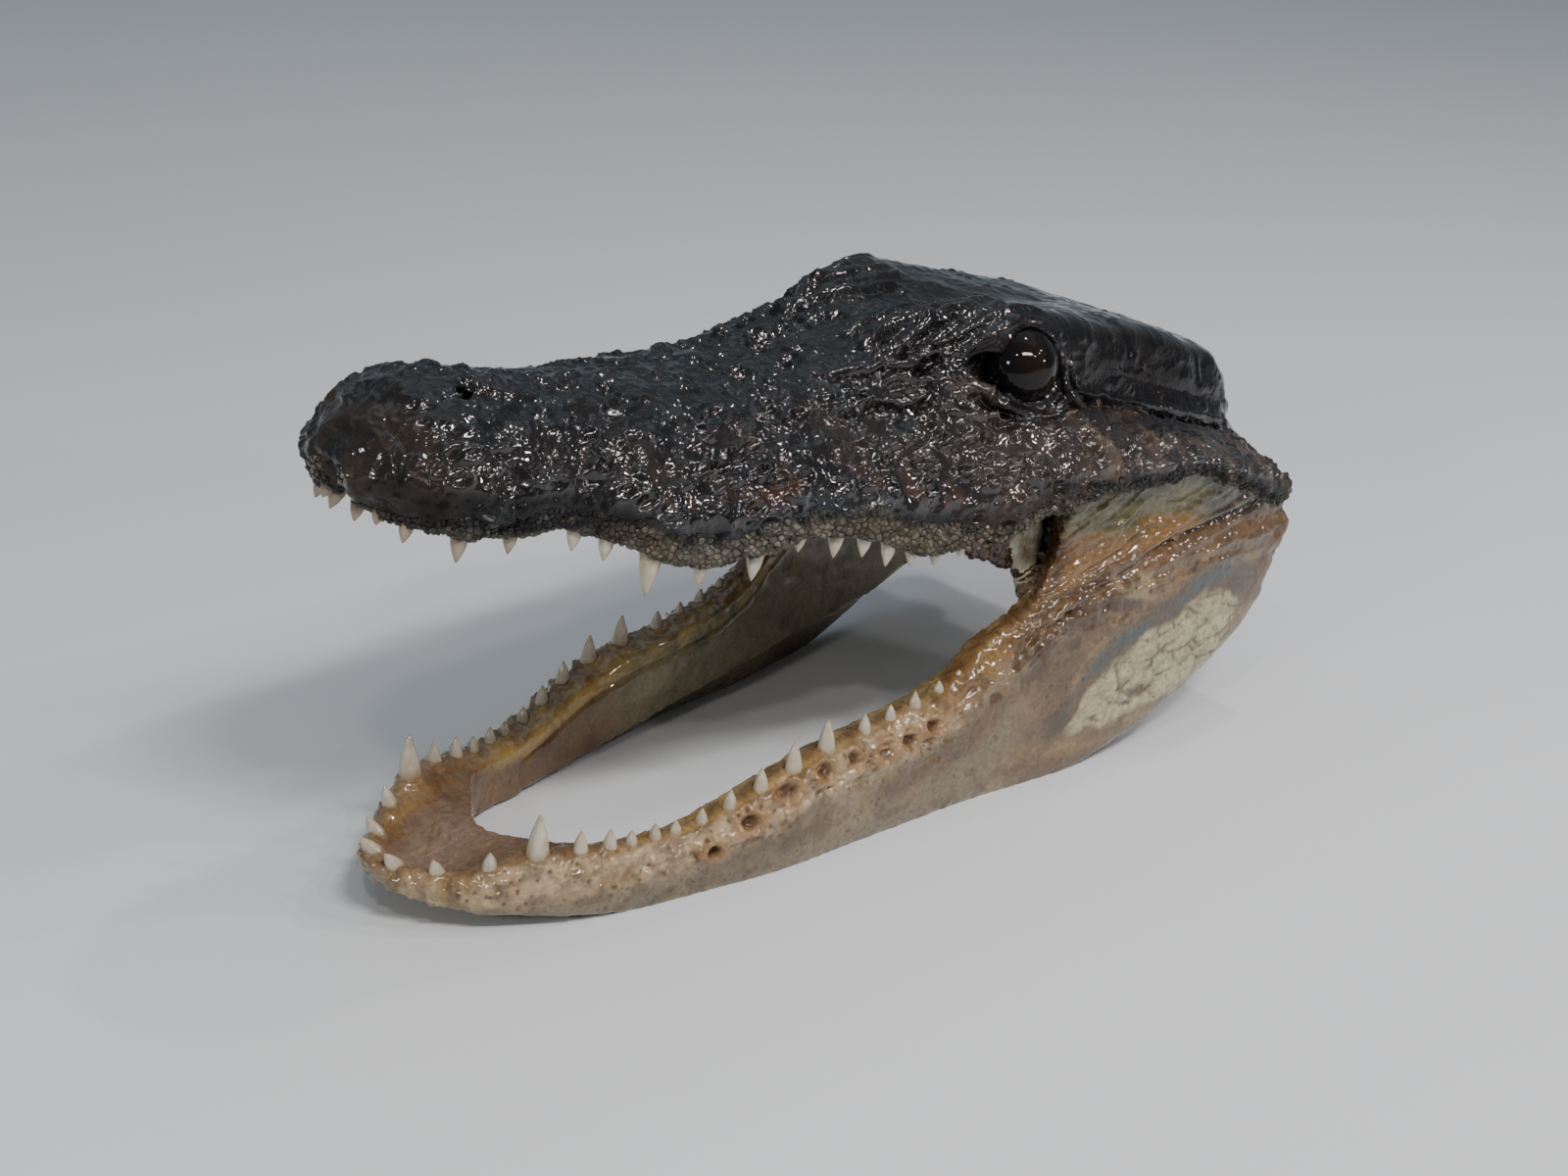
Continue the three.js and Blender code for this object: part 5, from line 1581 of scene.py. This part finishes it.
def bump(tree, height, distance, strength):
    made = node(tree, "ShaderNodeBump", Distance=distance)
    return filled(made, {"Height": height, "Strength": strength}).outputs[0]


def hide_material():
    material, tree, principled = shader("lacquered_hide", Coat_Weight=1.0, Coat_Roughness=0.05,
                                        Specular_IOR_Level=0.12)
    colour = attribute(tree, "tone")[3]
    rough, speckle, fine, _, lacquer = attribute(tree, "look")
    grain = texture(tree, "Noise", Scale=900.0, Detail=4.0, Roughness=0.6)
    blotch = texture(tree, "Noise", Scale=260.0, Detail=3.0)
    dots = texture(tree, "Voronoi", Scale=620.0, Randomness=1.0)
    pores = texture(tree, "Voronoi", Scale=1100.0, Randomness=1.0)
    dark = maths(tree, "MULTIPLY", ranged(tree, dots, 0.16, 0.34, 1.0, 0.0), speckle)
    dark = maths(tree, "MULTIPLY", dark, ranged(tree, blotch, 0.42, 0.58, 0.0, 1.0))
    shade = mixed(tree, "MIX", ranged(tree, grain, 0.3, 0.7, 0.0, 1.0), (0.74, 0.72, 0.7),
                  (1.22, 1.2, 1.16))
    varied = mixed(tree, "MULTIPLY", 1.0, colour, shade)
    height = maths(tree, "ADD", grain, maths(tree, "MULTIPLY", pores, 0.6))
    filled(principled, {
        "Base Color": mixed(tree, "MIX", maths(tree, "MULTIPLY", dark, 0.8), varied,
                            (0.055, 0.042, 0.03)),
        "Roughness": maths(tree, "ADD", rough, ranged(tree, blotch, 0.35, 0.65, -0.05, 0.12)),
        "Coat Weight": lacquer,
        "Normal": bump(tree, height, 0.00035, maths(tree, "MULTIPLY", fine, 0.8)),
        "Coat Normal": bump(tree, blotch, 0.00025, maths(tree, "MULTIPLY", fine, 0.45)),
    })
    return material


TOOTH_STOPS = [
    (0.0, (0.24, 0.17, 0.09, 1)), (0.08, (0.36, 0.29, 0.19, 1)), (0.22, (0.47, 0.42, 0.32, 1)),
    (0.6, (0.50, 0.47, 0.39, 1)), (0.85, (0.48, 0.42, 0.31, 1)), (1.0, (0.36, 0.26, 0.15, 1))]


def tooth_material():
    material, tree, principled = shader("enamel", Coat_Weight=0.6, Coat_Roughness=0.08)
    share, wear = attribute(tree, "share")[:2]
    ramp = filled(node(tree, "ShaderNodeValToRGB"), {0: share})
    for position, _ in TOOTH_STOPS[1:-1]:
        ramp.color_ramp.elements.new(position)
    for element, (position, colour) in zip(ramp.color_ramp.elements, TOOTH_STOPS):
        element.position, element.color = position, colour
    ivory = ramp.outputs[0]
    streak = texture(tree, "Noise", Scale=500.0, Detail=4.0)
    aged = mixed(tree, "MIX", wear, ivory, mixed(tree, "MULTIPLY", 1.0, ivory, (0.42, 0.33, 0.24)))
    stained = mixed(tree, "MULTIPLY", ranged(tree, streak, 0.4, 0.7, 0.0, 0.6), aged, (0.72, 0.6, 0.42))
    filled(principled, {"Base Color": stained, "Roughness": ranged(tree, streak, 0.3, 0.7, 0.2, 0.36)})
    return material


def eye_material():
    material, tree, principled = shader("black_glass", Roughness=0.03, IOR=1.48, Specular_IOR_Level=0.26)
    angle, along_head = attribute(tree, "gaze")[:2]
    iris = ranged(tree, angle, 0.30, 0.62, 1.0, 0.0)
    fleck = texture(tree, "Noise", Scale=420.0, Detail=5.0)
    brown = mixed(tree, "MIX", fleck, (0.008, 0.005, 0.004), (0.028, 0.016, 0.008))
    off_middle = maths(tree, "ABSOLUTE", maths(tree, "SUBTRACT", along_head, 0.5))
    shown = maths(tree, "MULTIPLY", iris, ranged(tree, off_middle, 0.05, 0.1, 0.0, 1.0))
    filled(principled, {"Base Color": mixed(tree, "MIX", maths(tree, "MULTIPLY", shown, 0.55),
                                            (0.004, 0.004, 0.004), brown)})
    return material


def bone_material():
    material, tree, principled = shader("dried_bone", Coat_Weight=0.35, Coat_Roughness=0.12)
    cloud = texture(tree, "Noise", Scale=240.0, Detail=5.0)
    filled(principled, {
        "Base Color": mixed(tree, "MIX", ranged(tree, cloud, 0.35, 0.65, 0.0, 1.0), (0.24, 0.19, 0.11),
                            (0.58, 0.55, 0.42)),
        "Roughness": ranged(tree, cloud, 0.3, 0.7, 0.35, 0.6),
        "Normal": bump(tree, texture(tree, "Voronoi", Scale=900.0), 0.0004, 0.5),
    })
    return material


def floor_material():
    material, tree, principled = shader("pale_floor", Roughness=0.62)
    cloud = texture(tree, "Noise", Scale=3.0, Detail=2.0)
    filled(principled, {"Base Color": mixed(tree, "MIX", cloud, (0.70, 0.74, 0.77), (0.74, 0.78, 0.81))})
    return material


def dressed(obj, material, nodes=()):
    """Gives a finished piece its material, body and the nodes that it replaces."""
    obj.data.materials.clear()
    obj.data.materials.append(material)
    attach(obj, "root")
    if nodes:
        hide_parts(*nodes)


lacquered, enamel, glass, bone_look = hide_material(), tooth_material(), eye_material(), bone_material()
UPPER_NODES = ("snout", "cranium", "brow_left", "brow_right")
LOWER_NODES = ("chin", "jaw_left", "jaw_right", "jaw_angle_left", "jaw_angle_right")
for obj in (hide, teeth_lower, teeth_upper, *eyes):
    obj.data.shade_smooth()
dressed(hide, lacquered, (*UPPER_NODES, *LOWER_NODES, "cheek_left", "cheek_right"))
for obj, slot_name in plates + scales:
    dressed(obj, lacquered)
dressed(teeth_lower, enamel, ("chin", "jaw_left", "jaw_right"))
dressed(teeth_upper, enamel, ("snout", "cranium"))
for obj, (_, label) in zip(eyes, BOTH_SIDES):
    dressed(obj, glass, (f"eye_{label}",))


def rounded_bone(cad_name):
    """A bone with its corners rounded and its faces weathered, from the solid's own shape."""
    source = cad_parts[cad_name]
    obj = placed(f"{cad_name}_bone", source.data.copy())
    obj.data.transform(source.matrix_world)
    obj.data.transform(Matrix.Scale(1 / MM, 4))
    in_voxels(obj, BONE_VOXEL)
    pts = smoothed(points_of(obj.data), edges_of(obj.data), 8)
    set_points(obj.data, pts)
    normals = normals_of(obj.data)
    set_points(obj.data, pts + normals * (0.22 * layered(pts, 3, 95) + 0.1 * ridged(pts, 1.4, 96)
                                          - 0.05)[:, None])
    obj.data.transform(Matrix.Scale(MM, 4))
    obj.data.shade_smooth()
    dressed(obj, bone_look, (cad_name,))


for cad_name in ("pterygoid_left", "pterygoid_right", "occipital_condyle"):
    rounded_bone(cad_name)


# ---- Stage ----
def soft_light(name, place, target_height, size, power, tint):
    """A rectangular light that faces the middle of the head."""
    data = bpy.data.lights.new(name, "AREA")
    data.shape, (data.size, data.size_y) = "RECTANGLE", size
    data.energy, data.color = power, tint
    obj = placed(name, data)
    obj.location = place
    obj.rotation_mode = "QUATERNION"
    obj.rotation_quaternion = (Vector((0, 0, target_height)) - Vector(place)).to_track_quat("-Z", "Y")


FLOOR_REACH = 3.0       # metres from the middle to the edge
FLOOR_LEVEL = 1.6       # metres from the middle to where it starts to curve


def floor_piece():
    """A level floor that curves up far behind the head."""
    count = 60
    u = np.linspace(-FLOOR_REACH, FLOOR_REACH, count)
    gx, gy = np.meshgrid(u, u, indexing="ij")
    far = np.maximum(np.hypot(gx, gy) - FLOOR_LEVEL, 0)
    verts = np.stack([gx, gy, 0.35 * far**2], axis=-1).reshape(-1, 3)
    r, c = np.meshgrid(np.arange(count - 1), np.arange(count - 1), indexing="ij")
    a = (r * count + c).ravel()
    faces = np.stack([a, a + count, a + count + 1, a + 1], axis=1).tolist()
    obj = store("floor", verts, faces)
    obj.data.shade_smooth()
    obj.data.materials.append(floor_material())
    return obj


floor_piece()
soft_light("key", (0.22, 0.72, 0.98), 0.05, (0.30, 0.14), 7.5, (1, 0.965, 0.92))
soft_light("top", (-0.25, -0.25, 1.1), 0.05, (1.3, 0.9), 1.4, (0.70, 0.88, 1))
soft_light("front", (0.95, 0.25, 0.5), 0.05, (0.12, 0.12), 1.8, (1, 0.97, 0.93))
SPARKS = (
    (0.02, 0.80, 0.80), (-0.28, 0.62, 0.72), (0.5, 0.42, 0.80), (-0.45, 0.45, 0.70),
    (-0.50, 0.75, 0.35), (-0.30, 0.05, 0.90))
for number, place in enumerate(SPARKS):
    soft_light(f"spark_{number}", place, 0.06, (0.06, 0.03), 1.2, (1, 0.88, 0.86))

world = bpy.data.worlds.new("studio")
bpy.context.scene.world = world
world.use_nodes = True
background = world.node_tree.nodes["Background"]
background.inputs["Color"].default_value = (0.62, 0.72, 0.8, 1)
background.inputs["Strength"].default_value = 0.23

camera_data = bpy.data.cameras.new("camera")
camera_data.lens, camera_data.sensor_width = 58.5, 36
camera_data.clip_start, camera_data.clip_end = 0.02, 20
camera = placed("camera", camera_data)
right = Vector((-0.7331, 0.6790, 0.0383)).normalized()
back = Vector((0.6350, 0.6632, 0.3962)).normalized()
up = back.cross(right).normalized()
right = up.cross(back)
camera.matrix_world = Matrix((
    (right.x, up.x, back.x, 0.36265),
    (right.y, up.y, back.y, 0.3763),
    (right.z, up.z, back.z, 0.2684),
    (0, 0, 0, 1),
))
bpy.context.scene.camera = camera
